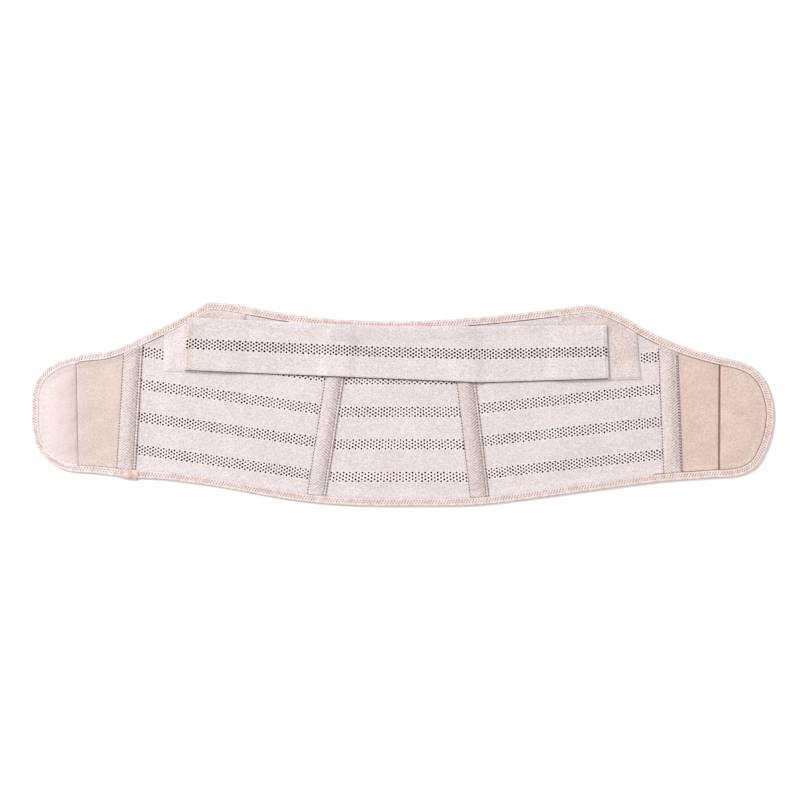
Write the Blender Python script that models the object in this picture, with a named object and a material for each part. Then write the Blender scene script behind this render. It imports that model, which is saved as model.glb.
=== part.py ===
"""An abdominal binder lying flat and open, modelled sub-part by sub-part.

Lengths are metres. The binder lies on the plane z = 0 with its underside down, +X runs along it and
+Y across it towards the edge that the strap lies near. The origin is on the table, under the middle.
"""

import math
from typing import NamedTuple

import bmesh
import bpy
from mathutils import Matrix, Vector
from mathutils.geometry import intersect_line_line_2d

# Overall size
LONG = 0.891
TALL = 0.245
HALF_LONG = LONG / 2
HALF_TALL = TALL / 2

# Clearance that sewn neighbours keep
GAP = 0.0003

# Walls of the cloths
CLOTH = 0.0012
BINDING_WALL = 0.0008
TAPE_WALL = 0.0010
PAD_WALL = 0.0012
STRAP_WALL = 0.0014
HOOK_WALL = 0.0015
HEM_WALL = 0.0007
TAB_PUFF = 0.0012
TAB_SHOULDER = 0.6

# Binding
BINDING_DEEP = 0.0100
BINDING_ROUND = 0.0008
EDGE_TUCK = 0.0035
EDGE_STEP = 0.024

# Bone channels
TAPE_WIDE = 0.0224
TAPE_CROWN = 0.0013
TAPE_ROWS = 5

# Strap, its hems and its hook patches
STRAP_LONG = 0.5050
STRAP_WIDE = 0.0640
STRAP_MIDDLE_X = -0.016 * HALF_LONG
STRAP_MIDDLE_Y = 0.51 * HALF_TALL
STRAP_STEP = 0.0110
STRAP_ROWS = 6
HEM_WIDE = 0.0050
HEM_STEP = 0.0010
HOOK_LONG = 0.0400
HOOK_TALL = 0.0400
HOOK_SET_BACK = 0.0090

# Landing pads
PAD_LONG = 0.0885
PAD_SHOW = 0.0020
PAD_COLUMNS = 8
PAD_ROWS = 2

# Perforated stripes, each drawn here as one row of slots
STRIPE_COUNT = 4
STRIPE_PITCH = 0.0390
STRIPE_TOP = 0.0296
SLOT_LONG = 0.0200
SLOT_TALL = 0.0030
SLOT_PITCH = 0.0264
SLOT_MARGIN = 0.0030

# How the cloth comes up off the table to enter the binding, and how the strap settles over things
EASE_START = BINDING_DEEP + 0.0010
EASE_END = EASE_START + 0.0070
EASE_FADE = 0.0120
DRAPE_MARGIN = 0.0080
DRAPE_REACH = 0.0080

# Heights that follow from the walls
LIFT = BINDING_WALL + GAP
BINDING_INSIDE = CLOTH + 2 * GAP
BINDING_THICK = BINDING_INSIDE + 2 * BINDING_WALL
CUT_BELOW = -0.010
CUT_ABOVE = 0.030


class EdgePoint(NamedTuple):
    """A point of the outline, in shares of the half length and the half height."""

    along: float
    up: float
    kind: str = "smooth"


class Seam(NamedTuple):
    """A sewn line across the binder: its share of the half length at mid height, and its lean."""

    place: float
    lean: float


class StrapPoint(NamedTuple):
    """Where the strap runs: share of its length, rise and width as shares of its width."""

    along: float
    rise: float
    wide: float


class Support(NamedTuple):
    """Something that the strap lies on: its corners in plan and its height above the cloth's bed."""

    corners: tuple
    height: float


# The outline, clockwise from the middle of the left end
OUTLINE = (
    EdgePoint(-1.000, -0.060),
    EdgePoint(-0.997, 0.120),
    EdgePoint(-0.984, 0.245),
    EdgePoint(-0.961, 0.340),
    EdgePoint(-0.923, 0.424),
    EdgePoint(-0.869, 0.484),
    EdgePoint(-0.790, 0.530),
    EdgePoint(-0.697, 0.668, "join"),
    EdgePoint(-0.600, 0.843),
    EdgePoint(-0.524, 1.000, "corner"),
    EdgePoint(-0.470, 0.985),
    EdgePoint(-0.250, 0.855),
    EdgePoint(0.000, 0.812),
    EdgePoint(0.250, 0.868),
    EdgePoint(0.478, 0.961),
    EdgePoint(0.515, 0.965),
    EdgePoint(0.585, 0.873),
    EdgePoint(0.670, 0.700),
    EdgePoint(0.747, 0.578),
    EdgePoint(0.828, 0.485),
    EdgePoint(0.908, 0.417),
    EdgePoint(0.947, 0.350),
    EdgePoint(0.974, 0.240),
    EdgePoint(0.990, 0.115),
    EdgePoint(1.000, -0.090),
    EdgePoint(0.994, -0.290),
    EdgePoint(0.978, -0.465),
    EdgePoint(0.951, -0.620),
    EdgePoint(0.905, -0.702),
    EdgePoint(0.828, -0.726),
    EdgePoint(0.700, -0.760),
    EdgePoint(0.531, -0.838),
    EdgePoint(0.340, -0.932),
    EdgePoint(0.200, -0.990),
    EdgePoint(0.050, -1.000),
    EdgePoint(-0.150, -0.992),
    EdgePoint(-0.300, -0.940),
    EdgePoint(-0.492, -0.816),
    EdgePoint(-0.640, -0.742),
    EdgePoint(-0.729, -0.724, "join"),
    EdgePoint(-0.830, -0.681),
    EdgePoint(-0.896, -0.660),
    EdgePoint(-0.940, -0.598),
    EdgePoint(-0.971, -0.500),
    EdgePoint(-0.989, -0.395),
    EdgePoint(-0.998, -0.240),
)

# Seams between the cloths; a bone channel covers each of the middle four
SEAMS = {
    "tab_left": Seam(-0.877, -0.021),
    "outer_left": Seam(-0.734, 0.060),
    "inner_left": Seam(-0.194, 0.155),
    "inner_right": Seam(0.178, -0.117),
    "outer_right": Seam(0.720, -0.041),
    "tab_right": Seam(0.853, 0.005),
}
CHANNELS = ("outer_left", "inner_left", "inner_right", "outer_right")

# The section of a bone channel: share of its width, share of its crown
TAPE_SECTION = ((0.0, 0.0), (0.16, 0.15), (0.34, 0.85), (0.5, 1.0), (0.66, 0.85), (0.84, 0.15), (1.0, 0.0))

# How the strap runs
STRAP_RUN = (
    StrapPoint(0.00, 0.155, 0.985),
    StrapPoint(0.20, 0.085, 0.980),
    StrapPoint(0.46, 0.000, 0.980),
    StrapPoint(0.70, -0.044, 1.050),
    StrapPoint(1.00, 0.005, 1.000),
)
STRAP_LEANS = (0.067, -0.045)

# Landing pads: where the outer edge lies as a share of the half length, and leans of both edges
PADS = {
    "left": (-0.643, (0.0, 0.150)),
    "right": (0.643, (-0.090, -0.150)),
}

# How far the outer ends of the stripes stand above their inner ends, on each side panel
STRIPE_RISE = {"left": 0.0330, "right": 0.0260}
STRIPE_START = {"left": 0.0015, "right": 0.0025}

SKIN = {
    "panel": ("E4DAD9", 0.90),
    "strap": ("E9DFDE", 0.88),
    "tape": ("DCD2CF", 0.86),
    "wing_left": ("E6D5CD", 0.96),
    "wing_right": ("E5CFC4", 0.96),
    "tab_left": ("F0E2E0", 0.95),
    "tab_right": ("E6D1C6", 0.95),
    "binding_pale": ("EBDAD8", 0.82),
    "binding": ("EBD6CE", 0.82),
    "pad": ("EFDCDC", 0.96),
    "hook": ("EDE6E2", 0.60),
}


def clear_scene():
    """Remove every object, so that the script starts from nothing."""
    for thing in list(bpy.data.objects):
        bpy.data.objects.remove(thing, do_unlink=True)


def new_collection(name, hidden=False):
    """Make a collection under the scene."""
    collection = bpy.data.collections.new(name)
    bpy.context.scene.collection.children.link(collection)
    collection.hide_render = hidden
    return collection


def linear(hex_colour):
    """Turn a display colour such as E4DAD9 into linear red, green, blue and alpha."""
    parts = [int(hex_colour[i:i + 2], 16) / 255 for i in (0, 2, 4)]
    light = [p / 12.92 if p <= 0.04045 else ((p + 0.055) / 1.055) ** 2.4 for p in parts]
    return (*light, 1.0)


def material(name):
    """Give the named cloth's material, made once."""
    label = name + "_cloth"
    if label in bpy.data.materials:
        return bpy.data.materials[label]
    colour, roughness = SKIN[name]
    made = bpy.data.materials.new(label)
    made.use_nodes = True
    shader = made.node_tree.nodes["Principled BSDF"]
    shader.inputs["Base Color"].default_value = linear(colour)
    shader.inputs["Roughness"].default_value = roughness
    shader.inputs["Metallic"].default_value = 0.0
    return made


def to_object(bm, name, collection, skin=None):
    """Turn a mesh under construction into an object that faces outwards."""
    bmesh.ops.recalc_face_normals(bm, faces=bm.faces)
    mesh = bpy.data.meshes.new(name)
    bm.to_mesh(mesh)
    bm.free()
    made = bpy.data.objects.new(name, mesh)
    collection.objects.link(made)
    if skin:
        mesh.materials.append(material(skin))
    else:
        made.hide_render = True
        made.display_type = "WIRE"
    return made


def boolean(target, cutter, operation):
    """Let one object cut or bound another."""
    modifier = target.modifiers.new(cutter.name, "BOOLEAN")
    modifier.operation = operation
    modifier.solver = "EXACT"
    modifier.object = cutter


def smooth_edge():
    """Smooth the outline's rows into the binder's closed edge, and find its two joins."""
    rows = [Vector((row.along * HALF_LONG, row.up * HALF_TALL)) for row in OUTLINE]
    count = len(rows)
    points = []
    joins = []
    for i, start in enumerate(rows):
        end = rows[(i + 1) % count]
        run = (end - start).length
        slope_in = edge_slope(rows, i, end - start)
        slope_out = edge_slope(rows, (i + 1) % count, end - start)
        if OUTLINE[i].kind == "join":
            joins.append(len(points))
        steps = max(1, round(run / EDGE_STEP))
        for k in range(steps):
            points.append(hermite(start, end, slope_in * run, slope_out * run, k / steps))
    return points, joins


def edge_slope(rows, i, chord):
    """Give the edge's direction at a row; at a corner it is that of the chord beside it."""
    if OUTLINE[i].kind == "corner":
        return chord.normalized()
    before = rows[i - 1]
    after = rows[(i + 1) % len(rows)]
    reach = (rows[i] - before).length + (after - rows[i]).length
    return (after - before) / reach


def hermite(start, end, slope_in, slope_out, t):
    """Give a point of the cubic between two points with the slopes given."""
    u = t * t * (3 - 2 * t)
    return start.lerp(end, u) + slope_in * t * (1 - t) ** 2 - slope_out * t * t * (1 - t)


EDGE, JOINS = smooth_edge()


def inset(distance):
    """Offset the whole edge inwards by a distance, with mitred corners."""
    offset = []
    for i, point in enumerate(EDGE):
        after = (EDGE[(i + 1) % len(EDGE)] - point).normalized()
        before = (point - EDGE[i - 1]).normalized()
        along = (before + after).normalized()
        inwards = Vector((along.y, -along.x))
        mitre = inwards.dot(Vector((after.y, -after.x)))
        offset.append(point + inwards * distance / mitre)
    return offset


def from_edge(point):
    """Give a point's distance from the binder's edge."""
    spot = Vector((point[0], point[1]))
    return min(from_segment(spot, EDGE[i - 1], corner) for i, corner in enumerate(EDGE))


def from_segment(spot, start, end):
    """Give the distance in plan from a spot to the segment between two points."""
    run = end - start
    share = min(1.0, max(0.0, (spot - start).dot(run) / run.length_squared))
    return (spot - start - run * share).length


def fade(value, start, end):
    """Fall from 1 at the start to 0 at the end."""
    return min(1.0, max(0.0, (end - value) / (end - start)))


def bed(point, margin=0.0):
    """Give the cloth's height off the table, which rises to enter the binding."""
    return LIFT * fade(from_edge(point) - margin, EASE_START, EASE_END)


def meet(top, bottom, distance, first=True):
    """Find where the line from top to bottom crosses the edge inset by a distance."""
    ring = inset(distance)
    found = []
    for i, corner in enumerate(ring):
        hit = intersect_line_line_2d(top, bottom, ring[i - 1], corner)
        if hit:
            found.append(hit)
    found.sort(key=lambda hit: -hit.y)
    return found[0] if first else found[-1]


def seam_x(seam, y):
    """Give a seam's place along the binder at a height across it."""
    return seam.place * HALF_LONG + seam.lean * y


def cloth_body(name, collection, skin, puff=0.0):
    """Loft the whole lying cloth through rings inside its edge, ready to be bounded by seams."""
    rings = (
        (EDGE_TUCK, LIFT, 0.0),
        (EASE_START, LIFT, 0.0),
        (EASE_END, 0.0, puff * TAB_SHOULDER),
        (EASE_END + EASE_FADE, 0.0, puff),
    )
    bm = bmesh.new()
    under = []
    over = []
    for distance, height, extra in rings:
        ring = inset(distance)
        under.append([bm.verts.new((p.x, p.y, height)) for p in ring])
        over.append([bm.verts.new((p.x, p.y, height + CLOTH + extra)) for p in ring])
    loops = list(reversed(under)) + over
    count = len(EDGE)
    for low, high in zip(loops, loops[1:]):
        for i in range(count):
            k = (i + 1) % count
            bm.faces.new((low[i], low[k], high[k], high[i]))
    bm.faces.new(under[-1])
    bm.faces.new(over[-1])
    return to_object(bm, name, collection, skin)


def slab(name, collection, left, right):
    """Make the upright slab between two seams, clear of each by half the sewing gap."""
    bm = bmesh.new()
    bmesh.ops.create_cube(bm, size=2.0)
    for vert in bm.verts:
        y = vert.co.y * TALL
        seam = left if vert.co.x < 0 else right
        side = GAP / 2 if vert.co.x < 0 else -GAP / 2
        x = seam_x(seam, y) + side if seam else math.copysign(LONG, vert.co.x)
        z = CUT_BELOW if vert.co.z < 0 else CUT_ABOVE
        vert.co = (x, y, z)
    return to_object(bm, name, collection)


def cloth(name, parts, cutters, skin, left, right, puff=0.0):
    """Make one sheet of the lying cloth, from one seam to the next."""
    sheet = cloth_body(name, parts, skin, puff)
    boolean(sheet, slab(name + "_between_seams", cutters, left, right), "INTERSECT")
    return sheet


def slots(name, collection, places):
    """Make one cutter of slots, each about a middle and along a direction."""
    bm = bmesh.new()
    size = Matrix.Diagonal((SLOT_LONG, SLOT_TALL, CUT_ABOVE - CUT_BELOW, 1.0))
    for middle, run in places:
        turn = Matrix.Rotation(math.atan2(run.y, run.x), 4, "Z")
        place = Matrix.Translation((middle.x, middle.y, (CUT_ABOVE + CUT_BELOW) / 2))
        bmesh.ops.create_cube(bm, size=1.0, matrix=place @ turn @ size)
    return to_object(bm, name, collection)


def slot_middles(length):
    """Spread slots evenly about the middle of a run, and give each one's share of its length."""
    count = int((length - 2 * SLOT_MARGIN - SLOT_LONG) / SLOT_PITCH) + 1
    return [0.5 + (i - (count - 1) / 2) * SLOT_PITCH / length for i in range(count)]


def panel_slots(left, right, side):
    """Place the slots of one panel's stripes, from its left channel's edge to its right one's."""
    places = []
    for i in range(STRIPE_COUNT):
        inner = STRIPE_TOP - i * STRIPE_PITCH + STRIPE_START.get(side, 0.0)
        outer = inner + STRIPE_RISE.get(side, 0.0)
        y_left, y_right = (outer, inner) if side == "left" else (inner, outer)
        start = Vector((seam_x(left, y_left) + TAPE_WIDE / 2, y_left))
        end = Vector((seam_x(right, y_right) - TAPE_WIDE / 2, y_right))
        run = end - start
        places += [(start.lerp(end, share), run) for share in slot_middles(run.length)]
    return places


def blanket(name, collection, skin, plan, under, over):
    """Make a closed sheet over a grid of plan points, between a lower and an upper height."""
    bm = bmesh.new()
    made = bmesh.ops.create_grid(bm, x_segments=len(plan) - 1, y_segments=len(plan[0]) - 1, size=1.0)
    order = sorted(made["verts"], key=lambda v: (round(v.co.x, 5), round(v.co.y, 5)))
    for vert, point in zip(order, (point for column in plan for point in column)):
        vert.co = (point[0], point[1], under(point))
    raised = bmesh.ops.extrude_face_region(bm, geom=bm.faces[:], use_keep_orig=True)
    for part in raised["geom"]:
        if isinstance(part, bmesh.types.BMVert):
            part.co.z = over(part.co)
    return to_object(bm, name, collection, skin)


def channel_line(name, share):
    """Give a channel's line at a share of its width, from above the edge to below it."""
    seam = SEAMS[name]
    shift = (share - 0.5) * TAPE_WIDE
    return [Vector((seam_x(seam, y) + shift, y)) for y in (TALL, -TALL)]


def across(top, bottom):
    """Give the points of a line across the binder, from one binding to the other."""
    depths = (BINDING_DEEP + GAP, EASE_START, EASE_END, EASE_END + EASE_FADE)
    head = [meet(top, bottom, depth) for depth in depths]
    foot = [meet(top, bottom, depth, first=False) for depth in reversed(depths)]
    middle = [head[-1].lerp(foot[0], k / TAPE_ROWS) for k in range(1, TAPE_ROWS)]
    return head + middle + foot


def crown_at(share):
    """Give the share of the crown that stands at a share of a channel's width."""
    share = min(1.0, max(0.0, share))
    for (low, first), (high, last) in zip(TAPE_SECTION, TAPE_SECTION[1:]):
        if low <= share <= high:
            return first + (last - first) * (share - low) / (high - low)


def channel(name, parts):
    """Make one bone channel: a tape that its bone raises along the middle."""
    seam = SEAMS[name]

    def under(point):
        share = (point[0] - seam_x(seam, point[1])) / TAPE_WIDE + 0.5
        standing = 1.0 - fade(from_edge(point), EASE_END, EASE_END + EASE_FADE)
        return bed(point) + CLOTH + GAP + TAPE_CROWN * crown_at(share) * standing

    plan = [across(*channel_line(name, share)) for share, _ in TAPE_SECTION]
    return blanket("channel_" + name, parts, "tape", plan, under, lambda point: under(point) + TAPE_WALL)


def strap_at(along):
    """Give the height across the binder of the strap's middle line, and its width there."""
    for low, high in zip(STRAP_RUN, STRAP_RUN[1:]):
        if low.along <= along <= high.along:
            share = (along - low.along) / (high.along - low.along)
            rise = low.rise + (high.rise - low.rise) * share
            wide = low.wide + (high.wide - low.wide) * share
            return STRAP_MIDDLE_Y + rise * STRAP_WIDE, wide * STRAP_WIDE


def strap_share(x):
    """Give the share of the strap's length at a place along the binder, kept on the strap."""
    return min(1.0, max(0.0, (x - STRAP_MIDDLE_X) / STRAP_LONG + 0.5))


def strap_point(along, up):
    """Give a plan point of the strap from a share of its length and a share of its width."""
    middle, wide = strap_at(along)
    lean = STRAP_LEANS[0] + (STRAP_LEANS[1] - STRAP_LEANS[0]) * along
    rise = (up - 0.5) * wide
    return Vector((STRAP_MIDDLE_X + (along - 0.5) * STRAP_LONG + lean * rise, middle + rise))


def pad_lines(side):
    """Give a pad's outer and inner lines, each from above the edge down to below the strap."""
    place, leans = PADS[side]
    inwards = math.copysign(PAD_LONG, -place)
    lines = []
    for lean, x in zip(leans, (place * HALF_LONG, place * HALF_LONG + inwards)):
        middle, wide = strap_at(strap_share(x))
        foot = middle - wide / 2 - PAD_SHOW
        lines.append([Vector((x + lean * (y - foot), y)) for y in (TALL, foot)])
    return lines


def pad(side, parts):
    """Make one landing pad: a brushed patch from the binding down to the strap's lower edge."""
    outer, inner = pad_lines(side)
    plan = []
    for k in range(PAD_COLUMNS + 1):
        top, foot = (start.lerp(end, k / PAD_COLUMNS) for start, end in zip(outer, inner))
        head = [meet(top, foot, depth) for depth in (BINDING_DEEP + GAP, EASE_START, EASE_END)]
        plan.append(head + [head[-1].lerp(foot, (i + 1) / PAD_ROWS) for i in range(PAD_ROWS)])

    def under(point):
        return bed(point) + CLOTH + GAP

    return blanket("pad_" + side, parts, "pad", plan, under, lambda point: under(point) + PAD_WALL)


def hook_plan(side):
    """Give a hook patch's corners in plan, as two columns under one end of the strap."""
    near = HOOK_SET_BACK / STRAP_LONG
    far = near + HOOK_LONG / STRAP_LONG
    shares = (near, far) if side == "left" else (1 - far, 1 - near)
    half = HOOK_TALL / STRAP_WIDE / 2
    return [[strap_point(along, up) for up in (0.5 - half, 0.5 + half)] for along in shares]


def hook(side, parts):
    """Make one hook patch, flat between its landing pad and the strap's end."""

    def under(point):
        return bed(point) + CLOTH + GAP + PAD_WALL + GAP

    name = "strap_hook_" + side
    return blanket(name, parts, "hook", hook_plan(side), under, lambda point: under(point) + HOOK_WALL)


def supports():
    """List what the strap lies on besides the plain cloth, with each one's height above its bed."""
    found = []
    for name in CHANNELS:
        left, right = channel_line(name, 0.0), channel_line(name, 1.0)
        found.append(Support((*left, *reversed(right)), CLOTH + GAP + TAPE_CROWN + TAPE_WALL))
    for side in PADS:
        outer, inner = pad_lines(side)
        low, high = hook_plan(side)
        found.append(Support((*outer, *reversed(inner)), CLOTH + GAP + PAD_WALL))
        found.append(Support((*low, *reversed(high)), CLOTH + GAP + PAD_WALL + GAP + HOOK_WALL))
    return found


def from_support(point, corners):
    """Give a point's distance in plan from a support, which is 0 on it."""
    place = Vector((point[0], point[1]))
    sides = {(end - start).cross(place - start) > 0 for start, end in zip(corners[-1:] + corners, corners)}
    if len(sides) == 1:
        return 0.0
    return min(from_segment(place, start, end) for start, end in zip(corners[-1:] + corners, corners))


def drape(distance, height):
    """Give a height that holds close to its support and then falls away to the cloth."""
    return CLOTH + (height - CLOTH) * fade(distance, DRAPE_MARGIN, DRAPE_MARGIN + DRAPE_REACH)


def strap(parts, cutters):
    """Make the strap, which settles over the pads, the channels and the binding."""
    below = supports()
    begin = STRAP_MIDDLE_X - STRAP_LONG / 2

    def under(point):
        heights = [drape(from_edge(point) - BINDING_DEEP, BINDING_THICK - LIFT)]
        heights += [drape(from_support(point, support.corners), support.height) for support in below]
        return bed(point, DRAPE_MARGIN) + max(heights) + GAP

    def over(point):
        lean = STRAP_LEANS[0] if point[0] < STRAP_MIDDLE_X else STRAP_LEANS[1]
        x = point[0] - lean * (point[1] - strap_at(strap_share(point[0]))[0])
        from_end = min(x - begin, begin + STRAP_LONG - x)
        return under(point) + STRAP_WALL + HEM_WALL * fade(from_end, HEM_WIDE, HEM_WIDE + HEM_STEP)

    hem = [0.0, HEM_WIDE / STRAP_LONG, (HEM_WIDE + HEM_STEP) / STRAP_LONG]
    count = math.ceil((1 - 2 * hem[-1]) * STRAP_LONG / STRAP_STEP)
    even = [hem[-1] + (1 - 2 * hem[-1]) * k / count for k in range(1, count)]
    shares = hem + even + [1 - share for share in reversed(hem)]
    plan = [[strap_point(along, k / STRAP_ROWS) for k in range(STRAP_ROWS + 1)] for along in shares]
    made = blanket("strap", parts, "strap", plan, under, over)
    half = SLOT_LONG / STRAP_LONG / 2
    places = []
    for along in slot_middles(STRAP_LONG):
        run = strap_point(along + half, 0.5) - strap_point(along - half, 0.5)
        places.append((strap_point(along, 0.5), run))
    boolean(made, slots("strap_slots", cutters, places), "DIFFERENCE")


def binding_section():
    """Give the folded binding's section: depth inwards from the edge, and height."""
    top = BINDING_THICK
    inner = BINDING_WALL + GAP * 2
    return (
        (0.0, BINDING_ROUND),
        (BINDING_ROUND, 0.0),
        (BINDING_DEEP, 0.0),
        (BINDING_DEEP, BINDING_WALL),
        (inner, BINDING_WALL),
        (inner, top - BINDING_WALL),
        (BINDING_DEEP, top - BINDING_WALL),
        (BINDING_DEEP, top),
        (BINDING_ROUND, top),
        (0.0, top - BINDING_ROUND),
    )


def binding(name, parts, skin, first, last):
    """Loft the folded binding along the edge, from one join to the next, clear of both."""
    count = len(EDGE)
    run = [k % count for k in range(first, last + 1 if last > first else last + count + 1)]
    rings = [inset(depth) for depth, _ in binding_section()]
    bm = bmesh.new()
    sections = []
    for place, k in enumerate(run):
        section = [Vector((*ring[k], height)) for ring, (_, height) in zip(rings, binding_section())]
        if place in (0, len(run) - 1):
            onward = EDGE[run[1]] - EDGE[k] if place == 0 else EDGE[run[-2]] - EDGE[k]
            shift = Vector((*onward.normalized(), 0.0)) * GAP / 2
            section = [corner + shift for corner in section]
        sections.append([bm.verts.new(corner) for corner in section])
    for start, end in zip(sections, sections[1:]):
        for i, corner in enumerate(start):
            bm.faces.new((start[i - 1], corner, end[i], end[i - 1]))
    bm.faces.new(sections[0])
    bm.faces.new(sections[-1])
    return to_object(bm, name, parts, skin)


def perforated(name, side, parts, cutters, left, right):
    """Make one panel of perforated elastic between two channels."""
    panel = cloth(name, parts, cutters, "panel", left, right)
    boolean(panel, slots(name + "_slots", cutters, panel_slots(left, right, side)), "DIFFERENCE")


def build():
    """Make the whole binder."""
    clear_scene()
    parts = new_collection("abdominal_binder")
    cutters = new_collection("cutters", hidden=True)
    perforated("panel_left", "left", parts, cutters, SEAMS["outer_left"], SEAMS["inner_left"])
    perforated("panel_centre", "centre", parts, cutters, SEAMS["inner_left"], SEAMS["inner_right"])
    perforated("panel_right", "right", parts, cutters, SEAMS["inner_right"], SEAMS["outer_right"])
    cloth("wing_left", parts, cutters, "wing_left", SEAMS["tab_left"], SEAMS["outer_left"])
    cloth("wing_right", parts, cutters, "wing_right", SEAMS["outer_right"], SEAMS["tab_right"])
    cloth("tab_left", parts, cutters, "tab_left", None, SEAMS["tab_left"], TAB_PUFF)
    cloth("tab_right", parts, cutters, "tab_right", SEAMS["tab_right"], None, TAB_PUFF)
    for name in CHANNELS:
        channel(name, parts)
    for side in PADS:
        pad(side, parts)
        hook(side, parts)
    strap(parts, cutters)
    top_join, bottom_join = JOINS
    binding("binding_main", parts, "binding", top_join, bottom_join)
    binding("binding_left_wing", parts, "binding_pale", bottom_join, top_join)


build()
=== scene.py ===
"""Dress the abdominal binder that lies flat on a pale table, seen from straight above.

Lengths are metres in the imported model's own frame. Every sewn piece replaces its plain solid with the
same outline and height, and adds what the cloth shows: holes, ribs, herringbone, nap and stitches.
"""

import logging
import math
from collections.abc import Callable
from dataclasses import dataclass, field
from enum import Enum
from typing import ClassVar

import bmesh
import bpy
import numpy as np
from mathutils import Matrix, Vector


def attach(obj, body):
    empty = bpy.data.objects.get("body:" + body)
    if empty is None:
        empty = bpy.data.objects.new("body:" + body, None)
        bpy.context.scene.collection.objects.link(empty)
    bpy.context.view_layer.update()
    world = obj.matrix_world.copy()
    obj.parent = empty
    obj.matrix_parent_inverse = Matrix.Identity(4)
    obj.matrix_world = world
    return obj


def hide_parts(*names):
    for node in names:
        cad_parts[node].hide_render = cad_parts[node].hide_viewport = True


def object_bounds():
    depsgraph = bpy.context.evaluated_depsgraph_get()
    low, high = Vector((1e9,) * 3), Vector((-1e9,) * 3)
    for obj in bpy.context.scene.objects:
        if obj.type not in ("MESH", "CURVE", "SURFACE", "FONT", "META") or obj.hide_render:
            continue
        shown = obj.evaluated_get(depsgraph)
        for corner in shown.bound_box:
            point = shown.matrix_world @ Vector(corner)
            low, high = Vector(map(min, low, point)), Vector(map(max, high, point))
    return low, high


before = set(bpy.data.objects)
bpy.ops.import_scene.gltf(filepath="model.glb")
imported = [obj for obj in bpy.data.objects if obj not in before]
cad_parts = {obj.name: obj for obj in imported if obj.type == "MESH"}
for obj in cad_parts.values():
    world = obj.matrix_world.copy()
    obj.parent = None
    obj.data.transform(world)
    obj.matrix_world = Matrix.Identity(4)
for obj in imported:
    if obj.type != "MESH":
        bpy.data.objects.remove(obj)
CAD_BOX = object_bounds()
LOG = logging.getLogger("binder")
# Short names for Blender's types, as the hints use them.
Material, Piece = bpy.types.Material, bpy.types.Object
Tree, Socket = bpy.types.NodeTree, bpy.types.NodeSocket
MM = 0.001
# Rounds after which a leaning line's end lies on the inset edge to well under a micron.
SETTLE_ROUNDS = 6
# How far a tight thread sinks into the cloth, and the corners round a thread or a needle's hole.
THREAD_SINK = 0.12 * MM
THREAD_SIDES = 6


class Chevron(Enum):
    """The way that a herringbone's points face."""

    UP = 1.0
    DOWN = -1.0


def linear(hex_colour: str) -> tuple[float, float, float, float]:
    """Turn an sRGB hex colour into linear red, green, blue and alpha.

    Args:
        hex_colour: Six hex digits, such as E4DAD9.

    Returns:
        The linear colour with an alpha of 1.
    """
    parts = [int(hex_colour[i:i + 2], 16) / 255 for i in (0, 2, 4)]
    light = [p / 12.92 if p <= 0.04045 else ((p + 0.055) / 1.055) ** 2.4 for p in parts]
    return (light[0], light[1], light[2], 1.0)


def add_node(tree: Tree, kind: str, settings: dict | None = None) -> bpy.types.Node:
    """Add one shader node with its settings and links.

    Args:
        tree: The material's node tree.
        kind: The node's type without its ShaderNode prefix.
        settings: By input, its value or the socket that feeds it; or by property where no input has the
            name. Stops are a ramp's two places and hex colours.

    Returns:
        The new node.
    """
    node = tree.nodes.new("ShaderNode" + kind)
    for name, value in (settings or {}).items():
        if name == "stops":
            for element, (position, colour) in zip(node.color_ramp.elements, value):
                element.position = position
                element.color = linear(colour)
        elif isinstance(value, Socket):
            tree.links.new(value, node.inputs[name])
        elif isinstance(name, int) or name in node.inputs:
            node.inputs[name].default_value = value
        else:
            setattr(node, name, value)
    return node


def smooth_fall(value: np.ndarray, start: float, end: float) -> np.ndarray:
    """Fall softly from 1 at the start to 0 at the end.

    Args:
        value: Distances.
        start: Where the fall starts.
        end: Where the fall ends.

    Returns:
        The share left at each distance.
    """
    t = np.clip((end - value) / (end - start), 0.0, 1.0)
    return t * t * (3 - 2 * t)


def bell(distance: np.ndarray, wide: float) -> np.ndarray:
    """Give 1 at no distance, which falls softly to nearly 0 at twice the width."""
    return np.exp(-(distance / wide) ** 2)


def rows_between(start: np.ndarray, end: np.ndarray, steps: int) -> list[np.ndarray]:
    """List evenly spaced rows after the start, up to and with the end."""
    return [start + (end - start) * n / steps for n in range(1, steps + 1)]


def ripple(xy: np.ndarray, length: float, seed: int) -> np.ndarray:
    """Give a gentle unevenness from a few crossing waves.

    Args:
        xy: Plan points, as (..., 2).
        length: The waves' typical length.
        seed: The seed of their directions.

    Returns:
        Heights from about -1 to 1.
    """
    rng = np.random.default_rng(seed)
    total = np.zeros(xy.shape[:-1])
    count = 7
    for _ in range(count):
        angle = rng.uniform(0, 2 * math.pi)
        pitch = length * rng.uniform(0.6, 1.7)
        phase = rng.uniform(0, 2 * math.pi)
        along = xy[..., 0] * math.cos(angle) + xy[..., 1] * math.sin(angle)
        total += np.sin(2 * math.pi * along / pitch + phase)
    return total / math.sqrt(count) / 1.6


@dataclass(frozen=True)
class EdgePoint:
    """A point of the outline, in shares of the half length and the half height."""

    along: float
    up: float
    kind: str = "smooth"


@dataclass(frozen=True)
class Seam:
    """A sewn line across the binder: its share of the half length at mid height, and its lean."""

    place: float
    lean: float


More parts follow.
